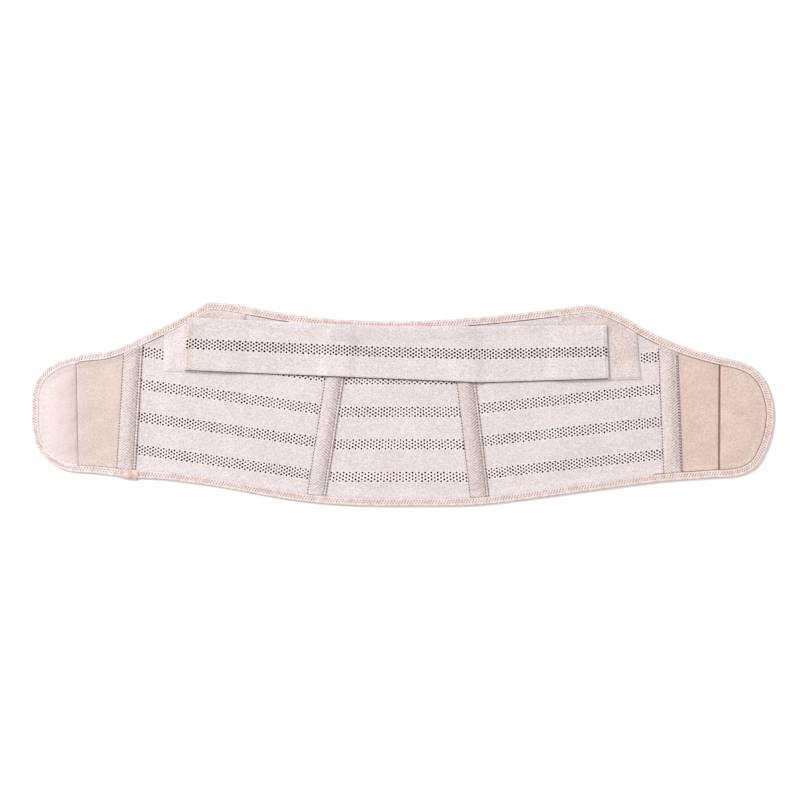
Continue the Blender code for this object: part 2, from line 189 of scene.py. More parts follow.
OUTLINE = (
    EdgePoint(-1.000, -0.060),
    EdgePoint(-0.997, 0.120),
    EdgePoint(-0.984, 0.245),
    EdgePoint(-0.961, 0.340),
    EdgePoint(-0.923, 0.424),
    EdgePoint(-0.869, 0.484),
    EdgePoint(-0.790, 0.530),
    EdgePoint(-0.697, 0.668, "join"),
    EdgePoint(-0.600, 0.843),
    EdgePoint(-0.524, 1.000, "corner"),
    EdgePoint(-0.470, 0.985),
    EdgePoint(-0.250, 0.855),
    EdgePoint(0.000, 0.812),
    EdgePoint(0.250, 0.868),
    EdgePoint(0.478, 0.961),
    EdgePoint(0.515, 0.965),
    EdgePoint(0.585, 0.873),
    EdgePoint(0.670, 0.700),
    EdgePoint(0.747, 0.578),
    EdgePoint(0.828, 0.485),
    EdgePoint(0.908, 0.417),
    EdgePoint(0.947, 0.350),
    EdgePoint(0.974, 0.240),
    EdgePoint(0.990, 0.115),
    EdgePoint(1.000, -0.090),
    EdgePoint(0.994, -0.290),
    EdgePoint(0.978, -0.465),
    EdgePoint(0.951, -0.620),
    EdgePoint(0.905, -0.702),
    EdgePoint(0.828, -0.726),
    EdgePoint(0.700, -0.760),
    EdgePoint(0.531, -0.838),
    EdgePoint(0.340, -0.932),
    EdgePoint(0.200, -0.990),
    EdgePoint(0.050, -1.000),
    EdgePoint(-0.150, -0.992),
    EdgePoint(-0.300, -0.940),
    EdgePoint(-0.492, -0.816),
    EdgePoint(-0.640, -0.742),
    EdgePoint(-0.729, -0.724, "join"),
    EdgePoint(-0.830, -0.681),
    EdgePoint(-0.896, -0.660),
    EdgePoint(-0.940, -0.598),
    EdgePoint(-0.971, -0.500),
    EdgePoint(-0.989, -0.395),
    EdgePoint(-0.998, -0.240),
)


@dataclass
class BinderPlan:
    """The binder's outline, seams and lying height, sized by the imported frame."""

    low: Vector
    high: Vector
    cloth: float = 1.2 * MM
    gap: float = 0.3 * MM
    binding_wall: float = 0.8 * MM
    binding_deep: float = 9.3 * MM
    edge_tuck: float = 3.5 * MM
    ease: float = 7.0 * MM
    step: float = 1.7 * MM
    tape_wide: float = 22.4 * MM
    seams: dict = field(default_factory=lambda: {
        "tab_left": Seam(-0.877, -0.021),
        "outer_left": Seam(-0.734, 0.060),
        "inner_left": Seam(-0.194, 0.155),
        "inner_right": Seam(0.178, -0.117),
        "outer_right": Seam(0.720, -0.041),
        "tab_right": Seam(0.853, 0.005),
    })

    def __post_init__(self) -> None:
        """Work out what follows from the sizes."""
        self.half_long = (self.high.x - self.low.x) / 2
        self.half_tall = (self.high.y - self.low.y) / 2
        self.lift = self.binding_wall + self.gap
        self.binding_thick = self.cloth + 2 * self.gap + 2 * self.binding_wall
        self.edge, self.joins = self.smooth_edge()

    def smooth_edge(self) -> tuple[np.ndarray, list[int]]:
        """Smooth the outline's rows into an evenly spaced closed edge.

        Returns:
            The edge's points, clockwise from the left end, and the places of its joins.
        """
        rows = np.array([(p.along * self.half_long, p.up * self.half_tall) for p in OUTLINE])
        fine, marks = [], []
        for i, start in enumerate(rows):
            end = rows[(i + 1) % len(rows)]
            run = np.linalg.norm(end - start)
            into = self.edge_slope(rows, i, end - start) * run
            out = self.edge_slope(rows, (i + 1) % len(rows), end - start) * run
            marks.append(len(fine))
            for t in np.arange(0, 1, 1 / math.ceil(run / (0.4 * MM))):
                ease = t * t * (3 - 2 * t)
                bend = into * t * (1 - t) ** 2 - out * t * t * (1 - t)
                fine.append(start + (end - start) * ease + bend)
        fine = np.array(fine + fine[:1])
        lengths = np.concatenate([[0], np.cumsum(np.linalg.norm(np.diff(fine, axis=0), axis=1))])
        self.around = float(lengths[-1])
        even = np.linspace(0, self.around, int(self.around / self.step / 2) * 2 + 1)[:-1]
        edge = np.stack([np.interp(even, lengths, fine[:, k]) for k in (0, 1)], axis=1)
        joins = [int(np.searchsorted(even, lengths[marks[i]])) for i, p in enumerate(OUTLINE)
                 if p.kind == "join"]
        return edge, joins

    @staticmethod
    def edge_slope(rows: np.ndarray, i: int, chord: np.ndarray) -> np.ndarray:
        """Give the edge's direction at a row; at a corner it is that of the chord beside it.

        Args:
            rows: The outline's points.
            i: The row.
            chord: The run beside it.

        Returns:
            A direction of about unit length.
        """
        if OUTLINE[i].kind == "corner":
            return chord / np.linalg.norm(chord)
        before, after = rows[i - 1], rows[(i + 1) % len(rows)]
        reach = np.linalg.norm(rows[i] - before) + np.linalg.norm(after - rows[i])
        return (after - before) / reach

    def inwards(self) -> np.ndarray:
        """Give the inward direction at each point of the edge, with mitred length.

        Returns:
            The directions, as (points, 2).
        """
        before = self.edge - np.roll(self.edge, 1, axis=0)
        after = np.roll(self.edge, -1, axis=0) - self.edge
        before /= np.linalg.norm(before, axis=1, keepdims=True)
        after /= np.linalg.norm(after, axis=1, keepdims=True)
        along = before + after
        along /= np.linalg.norm(along, axis=1, keepdims=True)
        normal = np.stack([along[:, 1], -along[:, 0]], axis=1)
        mitre = (normal * np.stack([after[:, 1], -after[:, 0]], axis=1)).sum(axis=1, keepdims=True)
        return normal / mitre

    def inset(self, depth: float) -> np.ndarray:
        """Offset the whole edge inwards by a depth."""
        return self.edge + self.inwards() * depth

    def edge_distance(self, xy: np.ndarray) -> np.ndarray:
        """Give the distance of plan points from the edge.

        Args:
            xy: Plan points, as (..., 2).

        Returns:
            The distances, shaped as the points are.
        """
        flat = xy.reshape(-1, 2)
        start, run = self.edge, np.roll(self.edge, -1, axis=0) - self.edge
        squared = (run ** 2).sum(axis=1)
        nearest = np.empty(len(flat))
        for i in range(0, len(flat), 2000):
            away = flat[i:i + 2000, None] - start[None]
            share = np.clip((away * run).sum(axis=2) / squared, 0, 1)
            nearest[i:i + 2000] = np.sqrt(((away - run * share[..., None]) ** 2).sum(axis=2)).min(axis=1)
        return nearest.reshape(xy.shape[:-1])

    def bed(self, distance: np.ndarray, margin: float = 0.0) -> np.ndarray:
        """Give the cloth's height off the table, which rises to enter the binding.

        Args:
            distance: Distances from the edge.
            margin: How much wider than the cloth's own rise this one is.

        Returns:
            Heights.
        """
        start = self.binding_deep + 1 * MM + margin
        return self.lift * smooth_fall(distance, start, start + self.ease)

    def edge_y(self, x: np.ndarray, depth: float, upper: bool) -> np.ndarray:
        """Give where the inset edge lies across the binder at places along it.

        Args:
            x: Places along the binder, away from its round ends.
            depth: How far inside the edge.
            upper: The edge near the strap, or the other one.

        Returns:
            Places across the binder.
        """
        ring = self.inset(depth)
        ring = np.roll(ring, -int(ring[:, 0].argmin()), axis=0)
        turn = int(ring[:, 0].argmax())
        part = ring[:turn + 1] if upper else ring[turn:][::-1]
        return np.interp(x, np.maximum.accumulate(part[:, 0]), part[:, 1])

    def seam_x(self, name: str, y: np.ndarray, share: float = 0.5) -> np.ndarray:
        """Give where a seam or a tape's line lies along the binder at heights across it.

        Args:
            name: The seam.
            y: Heights across the binder.
            share: The share of the tape's width, from its left edge.

        Returns:
            Places along the binder.
        """
        seam = self.seams[name]
        return seam.place * self.half_long + seam.lean * y + (share - 0.5) * self.tape_wide

    def meet_edge(self, along: Callable[[np.ndarray], np.ndarray], depth: float, upper: bool,
                  count: int, rounds: int = SETTLE_ROUNDS) -> np.ndarray:
        """Find where leaning lines meet the inset edge, by a few rounds of trial.

        Args:
            along: Gives the lines' places along the binder at heights across it.
            depth: How far inside the edge.
            upper: The edge near the strap, or the other one.
            count: The number of lines.
            rounds: The number of rounds.

        Returns:
            The lines' heights there.
        """
        y = np.zeros(count)
        for _ in range(rounds):
            y = self.edge_y(along(y), depth, upper)
        return y


def make_piece(name: str, verts: np.ndarray, faces: list, materials: list[Material],
               uv: np.ndarray, slots: np.ndarray | None = None) -> Piece:
    """Make a mesh object that rides with the binder.

    Args:
        name: The piece's name.
        verts: Its points, as (n, 3).
        faces: Its faces, as lists of point numbers.
        materials: Its materials, by slot.
        uv: Cloth coordinates in metres by point.
        slots: The material slot of each face.

    Returns:
        The new object.
    """
    used = np.unique(np.concatenate([np.asarray(f) for f in faces]))
    places = np.full(len(verts), -1)
    places[used] = np.arange(len(used))
    mesh = bpy.data.meshes.new(name)
    mesh.from_pydata(verts[used].tolist(), [], [places[list(f)].tolist() for f in faces])
    for material in materials:
        mesh.materials.append(material)
    if slots is not None:
        mesh.polygons.foreach_set("material_index", np.asarray(slots, dtype=np.int32))
    mesh.polygons.foreach_set("use_smooth", [True] * len(mesh.polygons))
    layer = mesh.uv_layers.new(name="cloth")
    loops = np.empty(len(mesh.loops), dtype=np.int32)
    mesh.loops.foreach_get("vertex_index", loops)
    layer.uv.foreach_set("vector", uv[used][loops].astype(np.float32).ravel())
    bm = bmesh.new()
    bm.from_mesh(mesh)
    bmesh.ops.recalc_face_normals(bm, faces=bm.faces)
    bm.to_mesh(mesh)
    bm.free()
    piece = bpy.data.objects.new(name, mesh)
    bpy.context.scene.collection.objects.link(piece)
    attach(piece, "root")
    LOG.info("%s: %d points, %d faces", name, len(mesh.vertices), len(mesh.polygons))
    return piece


def grid_faces(columns: int, rows: int, offset: int = 0) -> list[tuple[int, int, int, int]]:
    """List the faces of a grid of points that are numbered down each column.

    Args:
        columns: Points across.
        rows: Points down.
        offset: The number of the first point.

    Returns:
        The faces.
    """
    return [(offset + i * rows + j, offset + (i + 1) * rows + j,
             offset + (i + 1) * rows + j + 1, offset + i * rows + j + 1)
            for i in range(columns - 1) for j in range(rows - 1)]


def rim_numbers(columns: int, rows: int) -> list[int]:
    """List the numbers of a grid's outer points, in order round it.

    Args:
        columns: Points across.
        rows: Points down.

    Returns:
        The numbers.
    """
    bottom = [i * rows for i in range(columns)]
    right = [(columns - 1) * rows + j for j in range(1, rows)]
    top = [i * rows + rows - 1 for i in range(columns - 2, -1, -1)]
    left = [j for j in range(rows - 2, 0, -1)]
    return bottom + right + top + left


def tube_faces(sides: int, rows: int, offset: int = 0) -> list[tuple[int, ...]]:
    """List the faces of a closed tube whose points are numbered along each of its sides.

    Args:
        sides: Points round it.
        rows: Points along it.
        offset: The number of the first point.

    Returns:
        The faces, with those of both ends last.
    """
    around = [(offset + k * rows + n, offset + (k + 1) % sides * rows + n,
               offset + (k + 1) % sides * rows + n + 1, offset + k * rows + n + 1)
              for k in range(sides) for n in range(rows - 1)]
    return around + [tuple(offset + k * rows + end for k in range(sides)) for end in (0, rows - 1)]


def make_tube(name: str, columns: list[np.ndarray], material: Material) -> Piece:
    """Make a closed tube from the lines of points along its sides."""
    verts = np.concatenate(columns)
    return make_piece(name, verts, tube_faces(len(columns), len(columns[0])), [material], verts[:, :2])


def make_thread(name: str, line: np.ndarray, aside: tuple[float, float], radius: float,
                material: Material) -> Piece:
    """Make a round thread along a line.

    Args:
        name: The piece's name.
        line: The line's points, as (n, 3).
        aside: The direction across the thread in plan.
        radius: Its radius.
        material: The thread.

    Returns:
        The new object.
    """
    turns = [math.tau * k / THREAD_SIDES for k in range(THREAD_SIDES)]
    columns = [line + radius * np.array([aside[0] * math.cos(t), aside[1] * math.cos(t), math.sin(t)])
               for t in turns]
    return make_tube(name, columns, material)


def closed_sheet(name: str, xy: np.ndarray, under: np.ndarray, over: np.ndarray,
                 materials: list[Material], uv: np.ndarray) -> Piece:
    """Make a closed sheet over a grid of plan points.

    Args:
        name: The piece's name.
        xy: Plan points, as (columns, rows, 2).
        under: Heights of the underside.
        over: Heights of the top.
        materials: Its materials.
        uv: Cloth coordinates, as (columns, rows, 2).

    Returns:
        The new object.
    """
    columns, rows = xy.shape[:2]
    count = columns * rows
    low = np.concatenate([xy, under[..., None]], axis=2).reshape(-1, 3)
    high = np.concatenate([xy, over[..., None]], axis=2).reshape(-1, 3)
    rim = rim_numbers(columns, rows)
    walls = [(a, b, b + count, a + count) for a, b in zip(rim, rim[1:] + rim[:1])]
    faces = grid_faces(columns, rows) + grid_faces(columns, rows, count) + walls
    flat = uv.reshape(-1, 2)
    return make_piece(name, np.concatenate([low, high]), faces, materials, np.concatenate([flat, flat]))


@dataclass(frozen=True)
class Finish:
    """A surface finish: the Principled shader's own values, and the pattern that feeds it."""

    name: str
    shader: ClassVar[dict] = {}

    def build(self) -> Material:
        """Build the finish.

        Returns:
            The material.
        """
        material = bpy.data.materials.new(self.name)
        material.use_nodes = True
        tree = material.node_tree
        inputs = tree.nodes["Principled BSDF"].inputs
        for name, value in self.shader.items():
            inputs[name].default_value = value
        for name, socket in self.pattern(tree).items():
            tree.links.new(socket, inputs[name])
        return material

    def pattern(self, tree: Tree) -> dict[str, Socket]:
        """Add the nodes of the pattern.

        Args:
            tree: The material's node tree.

        Returns:
            What feeds the shader, by input.
        """
        raise NotImplementedError(self.name)

    @staticmethod
    def tinted(tree: Tree, colour: Socket, place: Socket,
               ends: tuple[float, float], tint: str) -> Socket:
        """Multiply a colour by a tint on the near side of a soft line.

        Args:
            tree: The material's node tree.
            colour: The colour.
            place: The places across the line.
            ends: Where the tint starts to fade, and where it is gone.
            tint: The tint, in hex digits.

        Returns:
            The tinted colour.
        """
        near = add_node(tree, "MapRange", {
            "From Min": ends[0], "From Max": ends[1], "To Min": 1.0, "To Max": 0.0, "Value": place})
        mixed = add_node(tree, "Mix", {
            "data_type": "RGBA", "blend_type": "MULTIPLY", "B": linear(tint),
            "Factor": near.outputs["Result"], "A": colour})
        return mixed.outputs["Result"]


@dataclass(frozen=True)
class ElasticKnit(Finish):
    """Warp-knitted elastic: smooth, matt, with short wisps and a fine grain where the yarns bunch."""

    body: str
    shade: str
    wisp_long: float = 3.8 * MM
    grain: float = 1.6 * MM
    cloud: float = 60 * MM
    backed: str = "FFFFFF"
    backed_until: float | None = None
    backed_soft: float = 13 * MM
    shader: ClassVar[dict] = {"Roughness": 0.86, "IOR": 1.46, "Sheen Weight": 0.12}

    def pattern(self, tree: Tree) -> dict[str, Socket]:
        """Draw the wisps and the grain, in tone and in relief.

        Args:
            tree: The material's node tree.

        Returns:
            What feeds the shader, by input.
        """
        # The ribs are 0.5 mm apart in real elastic, too fine to show, so the grain is drawn at 1.6 mm.
        # The eye gets a pale matt ground without any highlight, broken by short slanting wisps.
        place = add_node(tree, "TexCoord").outputs["Object"]
        turned = add_node(tree, "Mapping", {
            "Rotation": (0.0, 0.0, 0.7), "Scale": (1.0, 2.2, 1.0), "Vector": place})
        wisps = add_node(tree, "TexNoise", {
            "Scale": 1 / self.wisp_long, "Detail": 4.0, "Roughness": 0.6, "Distortion": 1.4,
            "Vector": turned.outputs["Vector"]})
        grain = add_node(tree, "TexNoise", {
            "Scale": 1 / self.grain, "Detail": 3.0, "Roughness": 0.7, "Vector": place})
        cloud = add_node(tree, "TexNoise", {"Scale": 1 / self.cloud, "Detail": 1.0, "Vector": place})
        fine = add_node(tree, "Math", {
            "operation": "ADD", 0: wisps.outputs["Fac"], 1: grain.outputs["Fac"]})
        both = add_node(tree, "Math", {
            "operation": "MULTIPLY_ADD", 1: 0.2, 0: cloud.outputs["Fac"], 2: fine.outputs[0]})
        spread = add_node(tree, "MapRange", {
            "From Min": 0.89, "From Max": 1.31, "Value": both.outputs[0]})
        tone = add_node(tree, "ValToRGB", {
            "stops": ((0.22, self.shade), (0.78, self.body)), "Fac": spread.outputs["Result"]})
        bump = add_node(tree, "Bump", {
            "Strength": 0.5, "Distance": 0.25 * MM, "Height": fine.outputs[0]})
        colour = tone.outputs["Color"]
        if self.backed_until is not None:
            # A patch sewn behind thin knit shows through it as a slightly warmer tone.
            apart = add_node(tree, "SeparateXYZ", {"Vector": place})
            ends = (self.backed_until - self.backed_soft, self.backed_until + self.backed_soft)
            colour = self.tinted(tree, colour, apart.outputs["X"], ends, self.backed)
        return {"Base Color": colour, "Normal": bump.outputs["Normal"]}


@dataclass(frozen=True)
class HoleShade(Finish):
    """Painted shade for the inside of a knitted hole: the yarn is coloured near-black for the little
    light that reaches it there.
    """

    deep: str
    lit: str
    patch: float = 5 * MM
    shader: ClassVar[dict] = {"Roughness": 1.0, "Specular IOR Level": 0.1}

    def pattern(self, tree: Tree) -> dict[str, Socket]:
        """Draw the painted shade, which is lighter in patches.

        Args:
            tree: The material's node tree.

        Returns:
            What feeds the shader, by input.
        """
        # Painted shade: near-black yarn gives the eye a warm dark dot without shine, lighter in places.
        place = add_node(tree, "TexCoord").outputs["Object"]
        patches = add_node(tree, "TexNoise", {"Scale": 1 / self.patch, "Detail": 2.0, "Vector": place})
        tone = add_node(tree, "ValToRGB", {
            "stops": ((0.4, self.deep), (0.7, self.lit)), "Fac": patches.outputs["Fac"]})
        return {"Base Color": tone.outputs["Color"]}


@dataclass(frozen=True)
class HerringboneTwill(Finish):
    """Woven cotton tape: two twills that meet in points along its middle, a little uneven in tone."""

    body: str
    groove_shade: str
    pitch: float = 3.4 * MM
    rise: float = 0.82
    margin: float = 7.9 * MM
    facing: Chevron = Chevron.UP
    blotch: float = 3.5 * MM
    groove_shade_patch: float = 14 * MM
    yarn: float = 0.9 * MM
    shader: ClassVar[dict] = {"Roughness": 0.9, "IOR": 1.53, "Sheen Weight": 0.1}

    def pattern(self, tree: Tree) -> dict[str, Socket]:
        """Draw the twill's slanting ribs up to the tape's sewn margin, with painted light and shade
        across the tape.

        Args:
            tree: The material's node tree.

        Returns:
            What feeds the shader, by input.
        """
        # Slanting ribs 3.4 mm apart catch the light in turn, and their grooves are painted darker as
        # painted shade, more in some patches, so the eye reads dull arrowheads up the tape. A real
        # twill's are 1 mm apart, too fine to show.
        cloth = add_node(tree, "UVMap", {"uv_map": "cloth"}).outputs["UV"]
        apart = add_node(tree, "SeparateXYZ", {"Vector": cloth})
        across = add_node(tree, "Math", {"operation": "ABSOLUTE", 0: apart.outputs["X"]})
        line = add_node(tree, "Math", {
            "operation": "MULTIPLY_ADD", 1: self.rise * self.facing.value, 0: across.outputs[0],
            2: apart.outputs["Y"]})
        turn = add_node(tree, "Math", {
            "operation": "MULTIPLY", 1: math.tau / self.pitch, 0: line.outputs[0]})
        rib = add_node(tree, "Math", {"operation": "SINE", 0: turn.outputs[0]})
        blotch = add_node(tree, "TexNoise", {
            "Scale": 1 / self.blotch, "Detail": 4.0, "Roughness": 0.65, "Vector": cloth})
        groove_shade_patch = add_node(tree, "TexNoise", {"Scale": 1 / self.groove_shade_patch, "Detail": 2.0, "Vector": cloth})
        depth = add_node(tree, "MapRange", {
            "From Min": 0.35, "From Max": 0.65, "To Min": 0.05, "To Max": 0.22,
            "Value": groove_shade_patch.outputs["Fac"]})
        inside = add_node(tree, "MapRange", {
            "From Min": self.margin, "From Max": self.margin + 0.7 * MM, "To Min": 1.0, "To Max": 0.0,
            "Value": apart.outputs["X"]})
        ribbed = add_node(tree, "Math", {
            "operation": "MULTIPLY", 0: rib.outputs[0], 1: inside.outputs["Result"]})
        mixed = add_node(tree, "Math", {
            "operation": "MULTIPLY_ADD", 0: ribbed.outputs[0], 1: depth.outputs["Result"],
            2: blotch.outputs["Fac"]})
        # Painted light and shade: the tape is a touch lighter left of its middle and darker towards its
        # right margin, as its raised crown is lit from the upper left.
        slope = add_node(tree, "MapRange", {
            "From Min": -2 * MM, "From Max": 6 * MM, "To Min": 0.03, "To Max": -0.10,
            "Value": apart.outputs["X"]})
        sloped = add_node(tree, "Math", {
            "operation": "MULTIPLY_ADD", 0: slope.outputs["Result"], 1: inside.outputs["Result"],
            2: mixed.outputs[0]})
        tone = add_node(tree, "ValToRGB", {
            "stops": ((0.20, self.groove_shade), (0.60, self.body)), "Fac": sloped.outputs[0]})
        yarn = add_node(tree, "TexNoise", {"Scale": 1 / self.yarn, "Detail": 2.0, "Vector": cloth})
        relief = add_node(tree, "Math", {
            "operation": "MULTIPLY_ADD", 1: 0.9, 0: yarn.outputs["Fac"], 2: ribbed.outputs[0]})
        bump = add_node(tree, "Bump", {
            "Strength": 0.45, "Distance": 0.3 * MM, "Height": relief.outputs[0]})
        return {"Base Color": tone.outputs["Color"], "Normal": bump.outputs["Normal"]}


@dataclass(frozen=True)
class BrushedLoop(Finish):
    """Brushed nylon loop: a soft nap that lies in patches, with loose fibres on top."""

    body: str
    shade: str
    fold: str = "FFFFFF"
    shade_wide: float = 0.0
    shade_soft: float = 0.4 * MM
    patch: float = 24 * MM
    patchy: float = 0.2
    spread: float = 0.24
    nap: float = 1.5 * MM
    shader: ClassVar[dict] = {"Roughness": 0.95, "IOR": 1.53, "Sheen Weight": 0.35,
                                          "Sheen Roughness": 0.6}

    def pattern(self, tree: Tree) -> dict[str, Socket]:
        """Draw the patches of the nap and its fibres, and a soft band of painted shade.

        Args:
            tree: The material's node tree.

        Returns:
            What feeds the shader, by input.
        """
        # A real loop is 0.3 mm across, too fine to show, so the nap is drawn at 1.5 mm. Its fibres stand
        # on end, so the eye gets soft speckle, no highlight and a paler rim where it looks along them.
        middle = 0.5 + self.patchy / 2
        low, high = middle - self.spread / 2, middle + self.spread / 2
        place = add_node(tree, "TexCoord").outputs["Object"]
        patches = add_node(tree, "TexNoise", {
            "Scale": 1 / self.patch, "Detail": 2.0, "Roughness": 0.5, "Vector": place})
        fibres = add_node(tree, "TexNoise", {
            "Scale": 1 / self.nap, "Detail": 3.0, "Roughness": 0.65, "Distortion": 0.8,
            "Vector": place})
        mixed = add_node(tree, "Math", {
            "operation": "MULTIPLY_ADD", 1: self.patchy, 0: patches.outputs["Fac"],
            2: fibres.outputs["Fac"]})
        tone = add_node(tree, "ValToRGB", {
            "stops": ((low, self.shade), (high, self.body)), "Fac": mixed.outputs[0]})
        bump = add_node(tree, "Bump", {
            "Strength": 0.7, "Distance": 0.35 * MM, "Height": fibres.outputs["Fac"]})
        colour = tone.outputs["Color"]
        # Painted shade: the fold colour darkens a band in a seam's groove on the wings and the right tab,
        # a soft stretch by the left tab's seam away from its lit rim, and the left pad where the strap
        # lies over it.
        if self.shade_wide:
            cloth = add_node(tree, "UVMap", {"uv_map": "cloth"}).outputs["UV"]
            apart = add_node(tree, "SeparateXYZ", {"Vector": cloth})
            ends = (self.shade_wide - self.shade_soft, self.shade_wide + self.shade_soft)
            colour = self.tinted(tree, colour, apart.outputs["X"], ends, self.fold)
        return {"Base Color": colour, "Normal": bump.outputs["Normal"]}


@dataclass(frozen=True)
class FoldedTape(Finish):
    """Thin woven binding tape: fine ribs across it, creased a little where the stitches pull."""

    body: str
    shade: str
    fold: str = "E2DDDC"
    fold_shade_ends: tuple[float, float] = (2.6 * MM, 5.4 * MM)
    patch: float = 7 * MM
    rib: float = 1.2 * MM
    rib_long: float = 4 * MM
    shader: ClassVar[dict] = {"Roughness": 0.82, "IOR": 1.53, "Sheen Weight": 0.15}

    def pattern(self, tree: Tree) -> dict[str, Socket]:
        """Draw the tape's ribs and patches, and the painted shade over the fold.

        Args:
            tree: The material's node tree.

        Returns:
            What feeds the shader, by input.
        """
        # Ribs of 0.4 mm would be too fine to show, so they are drawn at 1.2 mm along the tape. The yarn
        # has a little shine, so the eye gets a smooth light band; over the lit fold it is greyed by
        # painted shade.
        cloth = add_node(tree, "UVMap", {"uv_map": "cloth"}).outputs["UV"]
        patches = add_node(tree, "TexNoise", {"Scale": 1 / self.patch, "Detail": 4.0, "Vector": cloth})
        tone = add_node(tree, "ValToRGB", {
            "stops": ((0.35, self.shade), (0.62, self.body)), "Fac": patches.outputs["Fac"]})
        drawn = add_node(tree, "Mapping", {
            "Scale": (1 / self.rib, 1 / self.rib_long, 1.0), "Vector": cloth})
        ribs = add_node(tree, "TexNoise", {
            "Scale": 1.0, "Detail": 3.0, "Vector": drawn.outputs["Vector"]})
        bump = add_node(tree, "Bump", {
            "Strength": 0.35, "Distance": 0.3 * MM, "Height": ribs.outputs["Fac"]})
        apart = add_node(tree, "SeparateXYZ", {"Vector": cloth})
        folded = self.tinted(tree, tone.outputs["Color"], apart.outputs["Y"], self.fold_shade_ends, self.fold)
        return {"Base Color": folded, "Normal": bump.outputs["Normal"]}


@dataclass(frozen=True)
class SpunThread(Finish):
    """Spun polyester sewing thread: a slight shine, and darker where the twist turns under."""

    body: str
    shade: str
    twist: float = 1.5 * MM
    shader: ClassVar[dict] = {"Roughness": 0.6, "IOR": 1.57}

    def pattern(self, tree: Tree) -> dict[str, Socket]:
        """Draw the twist, in tone and in relief.

        Args:
            tree: The material's node tree.

        Returns:
            What feeds the shader, by input.
        """
        # The smooth filament gives the eye a faint glint along each stitch. A real twist is 0.4 mm
        # long, too fine to show, so it is drawn at 1.5 mm.
        place = add_node(tree, "TexCoord").outputs["Object"]
        twist = add_node(tree, "TexNoise", {"Scale": 1 / self.twist, "Detail": 2.0, "Vector": place})
        tone = add_node(tree, "ValToRGB", {
            "stops": ((0.3, self.shade), (0.7, self.body)), "Fac": twist.outputs["Fac"]})
        bump = add_node(tree, "Bump", {
            "Strength": 0.3, "Distance": 0.1 * MM, "Height": twist.outputs["Fac"]})
        return {"Base Color": tone.outputs["Color"], "Normal": bump.outputs["Normal"]}


@dataclass(frozen=True)
class MouldedHook(Finish):
    """Nylon hook tape: rows of stiff moulded hooks on a flat ground."""

    body: str
    shade: str
    pitch: float = 1.6 * MM
    shader: ClassVar[dict] = {"Roughness": 0.55, "IOR": 1.53}

    def pattern(self, tree: Tree) -> dict[str, Socket]:
        """Draw the hooks as round knobs on their ground, with painted shade on the ground between them.

        Args:
            tree: The material's node tree.

        Returns:
            What feeds the shader, by input.
        """
        # Stiff hooks 1.6 mm apart shine more than the loops, and the ground between them is painted
        # darker as painted shade, so the eye gets rows of small bright dots.
        place = add_node(tree, "TexCoord").outputs["Object"]
        hooks = add_node(tree, "TexVoronoi", {
            "Scale": 1 / self.pitch, "Randomness": 0.35, "Vector": place})
        tone = add_node(tree, "ValToRGB", {
            "stops": ((0.15, self.body), (0.6, self.shade)), "Fac": hooks.outputs["Distance"]})
        bump = add_node(tree, "Bump", {
            "Strength": 0.7, "Distance": 0.5 * MM, "invert": True, "Height": hooks.outputs["Distance"]})
        return {"Base Color": tone.outputs["Color"], "Normal": bump.outputs["Normal"]}


@dataclass(frozen=True)
class PaintedBoard(Finish):
    """Matt painted board, the table: plain white that takes a soft shadow."""

    grain: float = 16.67 * MM
    shader: ClassVar[dict] = {"Base Color": linear("FCFCFC"), "Roughness": 0.9,
                                          "Specular IOR Level": 0.1}

    def pattern(self, tree: Tree) -> dict[str, Socket]:
        """Draw the board's grain, in relief alone.

        Args:
            tree: The material's node tree.

        Returns:
            What feeds the shader, by input.
        """
        # Paint without shine gives the eye an even white ground, with no reflection of the binder.
        place = add_node(tree, "TexCoord").outputs["Object"]
        grain = add_node(tree, "TexNoise", {"Scale": 1 / self.grain, "Detail": 3.0, "Vector": place})
        bump = add_node(tree, "Bump", {
            "Strength": 0.02, "Distance": 0.1 * MM, "Height": grain.outputs["Fac"]})
        return {"Normal": bump.outputs["Normal"]}


